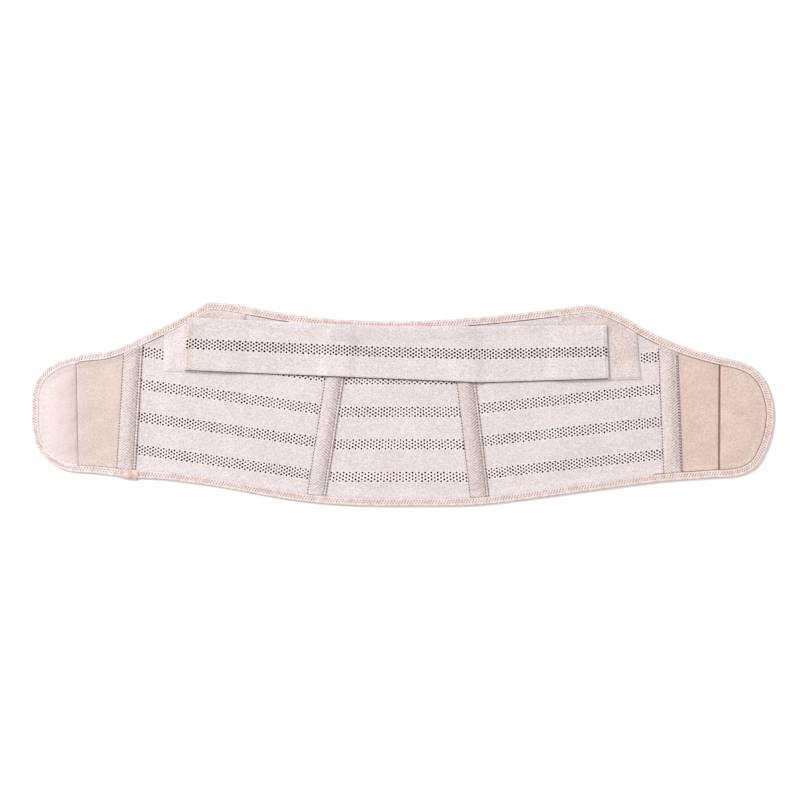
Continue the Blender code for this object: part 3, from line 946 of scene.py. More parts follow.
@dataclass
class HoleField:
    """Rows of round knitted holes through a grid of cloth, each a blind pit from both faces."""

    radius: float = 1.34 * MM
    depth: float = 0.50 * MM
    faint_share: float = 0.11
    size_range: tuple[float, float] = (0.9, 1.06)
    foot_share: float = 0.92
    sharp_from: float = math.radians(50)
    seed: int = 5

    RING = ((-1, -1), (0, -1), (1, -1), (1, 0), (1, 1), (0, 1), (-1, 1), (-1, 0))

    @staticmethod
    def stagger(columns: int, base: int, steps: int) -> list[tuple[int, int]]:
        """List the grid places of a stripe's holes, where every other column is shifted by a row.

        Args:
            columns: The grid's columns.
            base: The row below the stripe.
            steps: The stripe's rows and one more.

        Returns:
            The column and the row of each hole's middle.
        """
        return [(i, base + j) for i in range(1, columns - 1, 2)
                for j in range(1 + (i // 2) % 2, steps, 2)]

    def sheet(self, name: str, xy: np.ndarray, under: np.ndarray, over: np.ndarray,
              holes: list[tuple[int, int]], materials: list[Material]) -> Piece:
        """Make a closed sheet with its holes.

        Args:
            name: The piece's name.
            xy: Plan points, as (columns, rows, 2).
            under: Heights of the underside.
            over: Heights of the top.
            holes: The grid places of the holes' middles.
            materials: The cloth, the pits' near-black painted shade, its fainter variant, and the painted
                highlight on the yarn round each.

        Returns:
            The new object.
        """
        columns, rows = xy.shape[:2]
        count = columns * rows
        rng = np.random.default_rng(self.seed)
        verts = [np.concatenate([xy, under[..., None]], axis=2).reshape(-1, 3),
                 np.concatenate([xy, over[..., None]], axis=2).reshape(-1, 3)]
        taken = {(i + a, j + b) for i, j in holes for a in (-1, 0) for b in (-1, 0)}
        plain = [(i * rows + j, (i + 1) * rows + j, (i + 1) * rows + j + 1, i * rows + j + 1)
                 for i in range(columns - 1) for j in range(rows - 1) if (i, j) not in taken]
        rim = rim_numbers(columns, rows)
        faces = plain + [tuple(n + count for n in f) for f in plain]
        faces += [(a, b, b + count, a + count) for a, b in zip(rim, rim[1:] + rim[:1])]
        slots = [0] * len(faces)
        top = 2 * count
        turns = np.array([math.atan2(b, a) for a, b in self.RING])
        circle = np.stack([np.cos(turns), np.sin(turns)], axis=1)
        sides = len(self.RING)
        for i, j in holes:
            # Most pits take the near-black painted shade, and a few take a fainter painted shade.
            shade = 2 if rng.random() < self.faint_share else 1
            size = self.radius * rng.uniform(*self.size_range)
            for side, (height, sign) in enumerate(((under, 1), (over, -1))):
                at = xy[i, j]
                level = np.array([height[i + a, j + b] for a, b in self.RING])
                level = (level + height[i, j]) / 2
                mouth = np.column_stack([at + circle * size, level])
                foot = np.column_stack([at + circle * size * self.foot_share,
                                        np.full(sides, height[i, j] + sign * self.depth)])
                verts += [mouth, foot]
                near = [(i + a) * rows + j + b + side * count for a, b in self.RING]
                # The lip round each hole takes slot 3, a paler knit that is a painted highlight; the
                # pit's wall and foot take its painted shade.
                for k in range(sides):
                    n = (k + 1) % sides
                    faces.append((near[k], near[n], top + n, top + k))
                    faces.append((top + k, top + n, top + sides + n, top + sides + k))
                    slots += [3, shade]
                faces.append(tuple(range(top + sides, top + 2 * sides)))
                slots.append(shade)
                top += 2 * sides
        uv = np.concatenate(verts)[:, :2]
        piece = make_piece(name, np.concatenate(verts), faces, materials, uv, np.array(slots))
        piece.data.set_sharp_from_angle(angle=self.sharp_from)
        return piece


@dataclass
class PerforatedPanel:
    """One elastic panel between two seams, with four stripes of six staggered rows of holes."""

    plan: BinderPlan
    name: str
    left: str
    right: str
    rise_left: float = 0.0
    rise_right: float = 0.0
    column: float = 3.3 * MM
    row: float = 2.05 * MM
    stripe_top: float = 29.6 * MM
    stripe_pitch: float = 39.0 * MM
    stripe_count: int = 4
    hole_rows: int = 6
    plain_rows: int = 9
    settle_rounds: int = 5
    waves: tuple = ((55 * MM, 3, 0.12 * MM), (14 * MM, 4, 0.05 * MM))

    def build(self, materials: list[Material]) -> Piece:
        """Build the panel.

        Args:
            materials: The cloth, the pits' near-black painted shade, its fainter variant, and the painted
                highlight on the yarn round each.

        Returns:
            The new object.
        """
        plan = self.plan
        left, right = plan.seam_x(self.left, 0.0), plan.seam_x(self.right, 0.0)
        count = 2 * round((right - left) / self.column) + 1
        share = np.linspace(0, 1, count)

        def place(y: np.ndarray) -> np.ndarray:
            """Give the columns' places along the binder.

            Args:
                y: A height across the binder for each column.

            Returns:
                The places.
            """
            a = plan.seam_x(self.left, y) + plan.gap / 2
            b = plan.seam_x(self.right, y) - plan.gap / 2
            return a + (b - a) * share

        head = plan.meet_edge(place, plan.edge_tuck, True, count, self.settle_rounds)
        foot = plan.meet_edge(place, plan.edge_tuck, False, count, self.settle_rounds)
        half = (self.hole_rows + 1) / 2
        marks = [(foot, None)]
        for k in reversed(range(self.stripe_count)):
            middle = self.stripe_top - k * self.stripe_pitch + self.rise_left \
                + (self.rise_right - self.rise_left) * share
            marks += [(middle - half * self.row, "plain"), (middle + half * self.row, "holes")]
        marks.append((head, "plain"))
        ys, holes = [foot], []
        for (low, _), (high, kind) in zip(marks, marks[1:]):
            steps = self.hole_rows + 1 if kind == "holes" else self.plain_rows
            if kind == "holes":
                holes += HoleField.stagger(count, len(ys) - 1, steps)
            ys += rows_between(low, high, steps)
        y = np.stack(ys, axis=1)
        x = np.stack([place(row) for row in y.T], axis=1)
        xy = np.stack([x, y], axis=2)
        bed = plan.bed(plan.edge_distance(xy))
        over = bed + plan.cloth + sum(ripple(xy, long, seed) * high for long, seed, high in self.waves)
        field_of_holes = HoleField(seed=len(self.name))
        piece = field_of_holes.sheet(self.name + "_knit", xy, bed, over, holes, materials)
        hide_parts(self.name)
        return piece


@dataclass
class StitchRow:
    """Stitches on the cloth, each a low arch of thread, and the holes that the needle pressed in."""

    name: str
    thick: float = 0.62 * MM
    needle: float = 0.72 * MM
    rise: float = 0.28 * MM
    arch: tuple = ((0.06, 0.35, 0.0), (0.22, 0.9, 0.7), (0.5, 1.0, 1.0), (0.78, 0.9, 0.7),
                   (0.94, 0.35, 0.0))
    pit: tuple = ((1.0, -0.25 * MM), (0.8, 0.06 * MM))

    def __post_init__(self) -> None:
        """Work out the turns round a thread or a hole."""
        self.turns = np.arange(THREAD_SIDES) * math.tau / THREAD_SIDES

    def arches(self, starts: np.ndarray, ends: np.ndarray) -> np.ndarray:
        """Give the points of the stitches, ring by ring along each arch.

        Args:
            starts: Where the stitches start, as (n, 3).
            ends: Where they end.

        Returns:
            The points, as (stitches, points of one, 3).
        """
        along = ends - starts
        length = np.linalg.norm(along, axis=1, keepdims=True)
        along = along / length
        aside = np.column_stack([-along[:, 1], along[:, 0], np.zeros(len(along))])
        up = np.array([0.0, 0.0, 1.0])
        points = []
        for share, size, lift in self.arch:
            middle = starts + along * length * share + up * self.rise * lift
            points += [middle + aside * math.cos(t) * self.thick / 2 * size
                       + up * math.sin(t) * self.thick / 3 * size for t in self.turns]
        return np.stack(points, axis=1)

    def pits(self, needles: np.ndarray) -> np.ndarray:
        """Give the points of the needle's holes, ring by ring.

        Args:
            needles: Where the needle went through, as (n, 3).

        Returns:
            The points, as (holes, points of one, 3).
        """
        circle = np.stack([np.cos(self.turns), np.sin(self.turns)], axis=1) * self.needle
        rings = [np.column_stack([circle * size, np.full(THREAD_SIDES, height)])
                 for size, height in self.pit]
        return needles[:, None] + np.concatenate(rings)[None]

    @staticmethod
    def ring_faces(count: int, rings: int, first: int) -> list[tuple[int, ...]]:
        """List the faces of small closed bodies that are numbered ring by ring.

        Args:
            count: The number of bodies.
            rings: The rings of each.
            first: The number of the first point.

        Returns:
            The faces, with both ends of each body closed.
        """
        sides, faces = THREAD_SIDES, []
        for base in range(first, first + count * rings * sides, rings * sides):
            for low in range(base, base + (rings - 1) * sides, sides):
                faces += [(low + k, low + (k + 1) % sides, low + sides + (k + 1) % sides, low + sides + k)
                          for k in range(sides)]
            faces += [tuple(range(base, base + sides)),
                      tuple(range(base + (rings - 1) * sides, base + rings * sides))]
        return faces

    def lay(self, starts: np.ndarray, ends: np.ndarray, needles: np.ndarray,
            thread: Material, shade: Material) -> Piece:
        """Lay the stitches and press in the holes.

        Args:
            starts: Where the stitches start, as (n, 3).
            ends: Where they end.
            needles: Where the needle went through.
            thread: The thread.
            shade: The holes' shade.

        Returns:
            The new object.
        """
        arches, pits = self.arches(starts, ends).reshape(-1, 3), self.pits(needles).reshape(-1, 3)
        sewn = self.ring_faces(len(starts), len(self.arch), 0)
        holes = self.ring_faces(len(needles), len(self.pit), len(arches))
        verts = np.concatenate([arches, pits])
        slots = np.repeat([0, 1], [len(sewn), len(holes)])
        return make_piece(self.name, verts, sewn + holes, [thread, shade], verts[:, :2], slots)

    def lay_lines(self, lines: list[np.ndarray], thread: Material,
                  shade: Material) -> Piece:
        """Lay a stitch over every other gap between the points of some lines.

        Args:
            lines: The lines' points.
            thread: The thread.
            shade: The holes' shade.

        Returns:
            The new object.
        """
        starts = np.concatenate([line[:-1:2] for line in lines])
        ends = np.concatenate([line[1::2][:len(line[:-1:2])] for line in lines])
        return self.lay(starts, ends, starts, thread, shade)


@dataclass
class BoneTape:
    """One bone channel: a herringbone tape sewn over the panels' joint, which its bone raises."""

    plan: BinderPlan
    name: str
    facing: Chevron
    crown: float = 1.3 * MM
    wall: float = 1.0 * MM
    pitch: float = 3.4 * MM
    rise: float = 0.82
    relief: float = 0.14 * MM
    across_step: float = 0.8 * MM
    along_step: float = 0.85 * MM
    margin: float = 0.85
    bone_end: tuple[float, float] = (18 * MM, 30 * MM)
    rim_share: float = 0.06
    rim_drop: float = 0.25 * MM
    ditch_deep: float = 0.35 * MM
    stitch_step: float = 1.75 * MM
    settle_rounds: int = 5
    below: tuple[str, ...] = ()
    section: tuple = ((0, 0), (0.08, 0.1), (0.22, 0.8), (0.38, 1), (0.56, 0.95), (0.76, 0.2), (0.85, 0),
                      (1, 0))

    def build(self, material: Material) -> Piece:
        """Build the tape.

        Args:
            material: Its cloth.

        Returns:
            The new object.
        """
        plan = self.plan
        columns = int(plan.tape_wide / self.across_step) + 1
        share = np.linspace(0, 1, columns)

        def place(heights: np.ndarray) -> np.ndarray:
            """Give the columns' places along the binder at heights across it."""
            return plan.seam_x(self.name, heights, share)

        depth, rounds = plan.binding_deep + plan.gap, self.settle_rounds
        head = plan.meet_edge(place, depth, True, columns, rounds)
        foot = plan.meet_edge(place, depth, False, columns, rounds)
        rows = int((head - foot).max() / self.along_step) + 1
        y = foot[:, None] + (head - foot)[:, None] * np.linspace(0, 1, rows)[None]
        x = plan.seam_x(self.name, y, share[:, None])
        xy = np.stack([x, y], axis=2)
        distance = plan.edge_distance(xy)
        crown = np.interp(share, [p[0] for p in self.section], [p[1] for p in self.section])[:, None]
        standing = 1 - smooth_fall(distance, *self.bone_end)
        under = plan.bed(distance) + plan.cloth + plan.gap + self.crown * crown * standing
        u = (share[:, None] - 0.5) * plan.tape_wide * np.ones_like(y)
        phase = (y + self.facing.value * self.rise * np.abs(u)) * math.tau / self.pitch
        rim = np.clip(np.minimum(share, 1 - share) / self.rim_share, 0, 1)[:, None]
        woven = rim * (share[:, None] < self.margin)
        ditch = bell((share[:, None] - self.margin) * plan.tape_wide, 0.7 * MM)
        over = under + self.wall + self.relief * np.sin(phase) * woven - self.rim_drop * (1 - rim)
        over += ripple(xy, 20 * MM, 8) * 0.06 * MM - self.ditch_deep * ditch
        piece = closed_sheet("tape_" + self.name, xy, under, over, [material], np.stack([u, y], axis=2))
        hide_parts("channel_" + self.name)
        return piece

    def stitches(self, thread: Material, needle: Material,
                 ends_share: float = 0.985) -> Piece:
        """Sew the tape's lines of stitching.

        Args:
            thread: The thread.
            needle: The needle holes' shade.
            ends_share: Where the last line lies, as a share of the tape's width.

        Returns:
            The new object.
        """
        plan = self.plan
        lines = []
        for share in (0.0, self.margin, ends_share):

            def place(heights: np.ndarray, at: float = share) -> np.ndarray:
                """Give the line's places along the binder at heights across it."""
                return plan.seam_x(self.name, heights, at)

            foot, head = (float(plan.meet_edge(place, plan.binding_deep + 1.5 * MM, upper, 1)[0])
                          for upper in (False, True))
            y = np.arange(foot, head, self.stitch_step)
            xy = np.stack([place(y), y], axis=1)
            high = plan.bed(plan.edge_distance(xy)) + plan.cloth + plan.gap + self.wall - THREAD_SINK
            lines.append(np.column_stack([xy, high]))
        row = StitchRow("tape_" + self.name + "_stitches", thick=0.95 * MM, needle=0.75 * MM)
        piece = row.lay_lines(lines, thread, needle)
        return piece


@dataclass
class LoopWing:
    """One wing of brushed loop between a tab and an outer channel."""

    plan: BinderPlan
    name: str
    left: str
    right: str
    step: float = 1.5 * MM
    sink: float = 0.75 * MM
    sink_wide: float = 1.3 * MM

    def build(self, material: Material, slot: str) -> Piece:
        """Build the wing.

        Args:
            material: Its cloth.
            slot: Not used.

        Returns:
            The new object.
        """
        plan = self.plan
        wide = plan.seam_x(self.right, 0.0) - plan.seam_x(self.left, 0.0)
        share = np.linspace(0, 1, int(wide / self.step) + 1)

        def place(heights: np.ndarray) -> np.ndarray:
            """Give the columns' places along the binder at heights across it.

            Args:
                heights: Heights, with the columns last.

            Returns:
                The places.
            """
            a = plan.seam_x(self.left, heights) + plan.gap / 2
            b = plan.seam_x(self.right, heights) - plan.gap / 2
            return a + (b - a) * share

        head = plan.meet_edge(place, plan.edge_tuck, True, len(share))
        foot = plan.meet_edge(place, plan.edge_tuck, False, len(share))
        rows = int((head - foot).max() / self.step) + 1
        y = foot[:, None] + (head - foot)[:, None] * np.linspace(0, 1, rows)[None]
        xy = np.stack([place(y.T).T, y], axis=2)
        bed = plan.bed(plan.edge_distance(xy))
        nap = ripple(xy, 9 * MM, 11) * 0.03 * MM + ripple(xy, 40 * MM, 12) * 0.12 * MM
        near = np.minimum(share, 1 - share)[:, None] * wide
        sunk = self.sink * bell(near, self.sink_wide)
        inward = np.broadcast_to((1 - share)[:, None] * wide, y.shape)
        piece = closed_sheet(self.name + "_loop", xy, bed, bed + plan.cloth + nap - sunk, [material],
                             np.stack([inward, y], axis=2))
        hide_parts(self.name)
        return piece


@dataclass
class ClothFill:
    """A cloth simulation that swells a closed piece, with its underside and its rim held."""

    cap: float = 1.2 * MM
    quality: int = 5
    mass: float = 0.3
    tension: float = 15.0
    bending: float = 0.5
    pressure: float = 4.0
    shrink: float = -0.015
    frames: int = 20
    smoothings: int = 8

    def swell(self, piece: Piece, sewn: np.ndarray) -> None:
        """Run the simulation and give its result to the mesh.

        Args:
            piece: The piece.
            sewn: The points of its top that the binding holds, counted on the top alone.
        """
        mesh = piece.data
        start = np.array([v.co for v in mesh.vertices])
        half = len(start) // 2
        sides = [e.vertices for e in mesh.edges if (e.vertices[0] < half) != (e.vertices[1] < half)]
        held = piece.vertex_groups.new(name="held")
        rim = [max(pair) for pair in sides]
        held.add(list(range(half)) + rim + (sewn + half).tolist(), 1.0, "REPLACE")
        cloth = piece.modifiers.new("Fill", "CLOTH")
        self.set_up(cloth, held.name)
        scene = bpy.context.scene
        for number in range(1, self.frames + 1):
            scene.frame_set(number)
        shaped = piece.evaluated_get(bpy.context.evaluated_depsgraph_get())
        moved = np.array([v.co for v in shaped.data.vertices]) - start
        piece.modifiers.remove(cloth)
        piece.vertex_groups.remove(held)
        scene.frame_set(1)
        mesh.vertices.foreach_set("co", (start + self.calmed(mesh, moved)).ravel())
        mesh.update()

    def set_up(self, cloth: bpy.types.ClothModifier, held: str) -> None:
        """Give the simulation its settings.

        Args:
            cloth: The piece's cloth modifier.
            held: The name of the group of held points.
        """
        settings = cloth.settings
        settings.quality = self.quality
        settings.mass = self.mass
        settings.tension_stiffness = self.tension
        settings.bending_stiffness = self.bending
        settings.use_pressure = True
        settings.uniform_pressure_force = self.pressure
        settings.effector_weights.gravity = 0
        settings.vertex_group_mass = held
        settings.shrink_min = self.shrink
        cloth.collision_settings.use_collision = False

    def calmed(self, mesh: bpy.types.Mesh, moved: np.ndarray) -> np.ndarray:
        """Cap how far the points moved, and smooth it over the mesh.

        Args:
            mesh: The piece's mesh.
            moved: How far each point moved, as (n, 3).

        Returns:
            The calmer moves.
        """
        length = np.linalg.norm(moved, axis=1, keepdims=True)
        moved = moved * np.minimum(1, self.cap / np.maximum(length, 1e-9))
        still = moved[:, 2] == 0
        pairs = np.array([e.vertices for e in mesh.edges])
        for _ in range(self.smoothings):
            total, number = moved.copy(), np.ones((len(moved), 1))
            for a, b in (pairs.T, pairs.T[::-1]):
                np.add.at(total, a, moved[b])
                np.add.at(number, a, 1)
            moved = total / number
            moved[still] = 0
        return moved


@dataclass
class LoopTab:
    """One rounded end of padded brushed loop, gathered a little where its binding is sewn on."""

    plan: BinderPlan
    name: str
    seam: str
    leftward: bool
    puff: float = 1.2 * MM
    pucker: float = 0.16 * MM
    pucker_pitch: float = 8.5 * MM
    seam_flat: float = 0.6
    sink: float = 0.7 * MM
    rings: int = 30
    fill: ClothFill = field(default_factory=ClothFill)

    def rim(self) -> np.ndarray:
        """Give the tab's curved edge, from the seam's lower end round to its upper one.

        Returns:
            The edge's points.
        """
        plan = self.plan
        ring = plan.inset(plan.edge_tuck)
        inner = ring[:, 0] - plan.seam_x(self.seam, ring[:, 1])
        inside = inner < -plan.gap / 2 if self.leftward else inner > plan.gap / 2
        first = int(np.flatnonzero(inside & ~np.roll(inside, 1))[0])
        part = np.roll(ring, -first, axis=0)[:int(inside.sum())]
        return part if self.leftward else part[::-1]

    def build(self, material: Material, slot: str) -> Piece:
        """Build the tab and fill it.

        Args:
            material: Its cloth.
            slot: Not used.

        Returns:
            The new object.
        """
        plan = self.plan
        rim = self.rim()
        side = -plan.gap / 2 if self.leftward else plan.gap / 2
        ends = rim[[0, -1], 1]
        y = ends[0] + (ends[1] - ends[0]) * np.linspace(0, 1, len(rim))
        line = np.stack([plan.seam_x(self.seam, y) + side, y], axis=1)
        share = np.linspace(0, 1, self.rings)
        xy = line[None] + (rim - line)[None] * share[:, None, None]
        distance = plan.edge_distance(xy)
        bed = plan.bed(distance)
        depth = np.abs(xy[..., 0] - plan.seam_x(self.seam, xy[..., 1]))
        filled = 1 - smooth_fall(distance, 11 * MM, 30 * MM)
        filled = filled * (1 - self.seam_flat * smooth_fall(depth, 0, 7 * MM))
        around = np.linspace(0, len(rim) * plan.step, len(rim))[None]
        gather = np.sin(around / self.pucker_pitch * math.tau + 1.7 * np.sin(around / (31 * MM)))
        reach = smooth_fall(distance, 10 * MM, 28 * MM) * (1 - smooth_fall(distance, 4 * MM, 9 * MM))
        over = bed + plan.cloth + self.puff * 0.8 * filled + self.pucker * gather * reach
        over += ripple(xy, 18 * MM, 21) * 0.06 * MM - self.sink * bell(depth, 1.3 * MM)
        piece = closed_sheet(self.name + "_pad", xy, bed, over, [material],
                             np.stack([depth, xy[..., 1]], axis=2))
        sewn = np.flatnonzero(distance.ravel() < plan.binding_deep + 1.5 * MM)
        self.fill.swell(piece, sewn)
        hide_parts(self.name)
        return piece


@dataclass
class FoldedBinding:
    """One run of binding: a tape folded over the edge, sewn through with a zig-zag."""

    plan: BinderPlan
    name: str
    first: int
    last: int
    row_outer: float = 3.8 * MM
    row_inner: float = 6.6 * MM
    rows_beside: tuple[float, float, float] = (2.2 * MM, 5.3 * MM, 8.6 * MM)
    pull: float = 0.40 * MM
    pull_wide: float = 1.1 * MM
    scallop: float = 0.45 * MM
    wobble: float = 0.07 * MM
    corner: float = 0.25 * MM
    sharp_from: float = math.radians(65)
    narrow: float = 0.0
    plain_until: float = 0.0
    plain_above: bool = False
    lap_sides: int = 18

    def stations(self) -> np.ndarray:
        """Give the numbers of the edge's points along this run.

        Returns:
            The numbers, which may run past the edge's last point.
        """
        count = len(self.plan.edge)
        last = self.last if self.last > self.first else self.last + count
        return np.arange(self.first, last + 1)

    def squeeze(self, ring: np.ndarray) -> np.ndarray:
        """Give how much of its usual depth the tape shows, which is less round the left end.

        Args:
            ring: Numbers of edge points.

        Returns:
            Shares, as a column.
        """
        from_end = self.plan.edge[ring, 0] + self.plan.half_long
        return (1 - self.narrow * smooth_fall(from_end, 20 * MM, 90 * MM))[:, None]

    def shadow_line_shows(self, ring: np.ndarray) -> np.ndarray:
        """Tell where the dark tube of painted shadow shows along the tape's inner edge.

        Args:
            ring: Numbers of edge points.

        Returns:
            True where the line shows.
        """
        x, y = self.plan.edge[ring].T
        return (x > self.plain_until) | ((y > 0) & (not self.plain_above))

    def top_height(self, depth: np.ndarray, turn: np.ndarray, face: float = 1.0) -> np.ndarray:
        """Give how far the tape's face is pulled in at a depth.

        Args:
            depth: Depths from the edge.
            turn: Stations counted in half stitches.
            face: How strongly this face shows it.

        Returns:
            Heights to take off the face.
        """
        outer = bell(depth - self.row_outer, self.pull_wide) * (turn % 2 == 0)
        inner = bell(depth - self.row_inner, self.pull_wide) * (turn % 2 == 1)
        between = 0.35 * bell(depth - (self.row_outer + self.row_inner) / 2, 2.6 * MM)
        return self.pull * face * (outer + inner + between)

    def build(self, materials: list[Material], slot: str) -> Piece:
        """Build the tape of this run.

        Args:
            materials: Its cloth.
            slot: Not used.

        Returns:
            The new object.
        """
        plan = self.plan
        turn = self.stations()
        thick, wall, deep = plan.binding_thick, plan.binding_wall, plan.binding_deep
        inner = wall + plan.gap * 2
        near, between, far = self.rows_beside
        tops = [0.9 * MM, near, self.row_outer, between, self.row_inner, far, deep]
        section = [(self.corner, self.corner, "fold"), (0.0, thick / 2, "fold"),
                   (self.corner, thick - 0.3 * MM, "fold")]
        section += [(d, thick, "top") for d in tops]
        section += [(deep, thick - wall, "in"), (inner, thick - wall, "in"), (inner, wall, "in"),
                    (deep, wall, "in")]
        section += [(d, 0.0, "under") for d in reversed(tops)]
        inwards = plan.inwards()
        count = len(plan.edge)
        narrowed = self.squeeze(turn % count)
        rng = np.random.default_rng(17)
        marks = np.arange(turn[0], turn[-1] + 9, 6)
        wobble = np.interp(turn, marks, rng.uniform(-1, 1, len(marks)))
        columns, uv = [], []
        rows = len(turn)
        for number, (depth, height, kind) in enumerate(section):
            level = np.full(rows, height)
            reach = np.full(rows, depth)
            if kind == "top":
                level = height - self.top_height(reach, turn) + self.wobble * wobble
            if kind == "under":
                level = height + self.top_height(reach, turn, 0.5)
            if kind == "fold":
                reach = reach + self.scallop * (turn % 2 == 0)
            if depth == deep and kind != "under":
                reach = reach - 0.25 * MM * (turn % 2 == 1) + 0.2 * MM * wobble
            spot = plan.edge[turn % count] + inwards[turn % count] * reach[:, None] * narrowed
            columns.append(np.column_stack([spot, level]))
            uv.append(np.column_stack([turn * plan.step, np.full(rows, number * 1.6 * MM)]))
        piece = make_piece(self.name + "_tape", np.concatenate(columns), tube_faces(len(section), rows),
                           materials, np.concatenate(uv))
        piece.data.set_sharp_from_angle(angle=self.sharp_from)
        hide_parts(self.name)
        return piece

    def stitches(self, material: Material, needle: Material,
                 slot: str) -> Piece:
        """Sew the zig-zag and its needle holes.

        Args:
            material: The thread.
            needle: The holes' shade.
            slot: Not used.

        Returns:
            The new object.
        """
        plan = self.plan
        turn = self.stations()[1:-1]
        count = len(plan.edge)
        depth = np.where(turn % 2 == 0, self.row_outer, self.row_inner)
        ring = turn % count
        spot = plan.edge[ring] + plan.inwards()[ring] * depth[:, None] * self.squeeze(ring)
        level = plan.binding_thick - self.pull
        points = np.column_stack([spot, np.full(len(turn), level)])
        first = 1 - int(turn[0] % 2)
        starts, ends = points[first:-1:2], points[first + 1::2]
        piece = StitchRow(self.name + "_stitches").lay(starts[:len(ends)], ends[:len(starts)], points,
                                                       material, needle)
        return piece

    def ditch(self, material: Material, slot: str, in_shadow: bool = True) -> Piece:
        """Lay a tube where the tape's inner edge meets the cloth: a dark one is painted shadow under the
        edge, a pale one a painted highlight on a raised rim.

        Args:
            material: The dark colour of the painted shadow, and for the rim the pale colour of the
                painted highlight.
            slot: Not used.
            in_shadow: True for the dark painted shadow line, False for the pale painted highlight rim.

        Returns:
            The new object.
        """
        plan = self.plan
        turn = self.stations()[1:-1]
        shown = turn[self.shadow_line_shows(turn % len(plan.edge)) == in_shadow]
        section = ((-0.35, 0.35), (-0.5, 0.0), (-0.35, -0.3), (0.35, -0.3), (0.5, 0.0), (0.35, 0.3))
        bold, stand = (1.0, 0.1 * MM) if in_shadow else (1.5, 0.4 * MM)
        columns, faces = [], []
        for run in np.split(shown, np.flatnonzero(np.diff(shown) > 1) + 1):
            ring = run % len(plan.edge)
            faces += tube_faces(len(section), len(run), sum(len(c) for c in columns))
            for aside, up in section:
                reach = plan.binding_deep + (0.35 + aside) * MM * bold
                spot = plan.edge[ring] + plan.inwards()[ring] * reach * self.squeeze(ring)
                level = np.full(len(run), plan.lift + plan.cloth + up * MM * bold + stand)
                columns.append(np.column_stack([spot, level]))
        verts = np.concatenate(columns)
        name = self.name + ("_shadow_line" if in_shadow else "_nap_highlight")
        piece = make_piece(name, verts, faces, [material], verts[:, :2])
        return piece

    def lap(self, at: int, material: Material) -> Piece:
        """Fold the tape's spare end over a join, as one thick rounded wad.

        Args:
            at: The join's place along the edge.
            material: Its cloth.

        Returns:
            The new object.
        """
        plan = self.plan
        middle = at + 1.5
        turn = np.arange(at - 5, at + 9)
        hump = np.sqrt(np.clip(1 - ((turn - middle) / 7.2) ** 2, 0, 1))
        ring = turn % len(plan.edge)
        thick, deep = plan.binding_thick, plan.binding_deep
        columns = []
        for k in range(self.lap_sides):
            angle = math.tau * k / self.lap_sides
            rumple = np.sin(turn * 1.7 + 3 * angle) + 0.7 * np.sin(turn * 2.9 - 5 * angle)
            reach = deep / 2 + (1.0 + 0.45 * rumple) * MM * hump
            depth = deep / 2 - 0.4 * MM * hump - math.cos(angle) * reach
            height = thick / 2 + 0.8 * MM * hump + math.sin(angle) * (thick / 2 + 1.2 * MM * hump)
            height += 0.45 * MM * rumple * hump
            height = np.maximum(height, 0.0)
            spot = plan.edge[ring] + plan.inwards()[ring] * depth[:, None]
            columns.append(np.column_stack([spot, height]))
        piece = make_tube("binding_lap", columns, material)
        return piece

    def loose_end(self, at: int, material: Material) -> Piece:
        """Leave the short tail of thread that hangs from the join.

        Args:
            at: The join's place along the edge.
            material: The thread.

        Returns:
            The new object.
        """
        plan = self.plan
        ring = (at - 2) % len(plan.edge)
        start = plan.edge[ring] + plan.inwards()[ring] * 1.5 * MM
        share = np.linspace(0, 1, 22)
        x = start[0] + (1.0 + 3.0 * share + 1.5 * np.sin(share * 4.4)) * MM
        y = start[1] - (0.3 + 3.6 * share - 0.9 * np.sin(share * 6.0)) * MM
        z = (3.2 * (1 - share) ** 2 + 0.45) * MM
        piece = make_thread("thread_end", np.column_stack([x, y, z]), (1.0, 0.0), 0.4 * MM, material)
        return piece


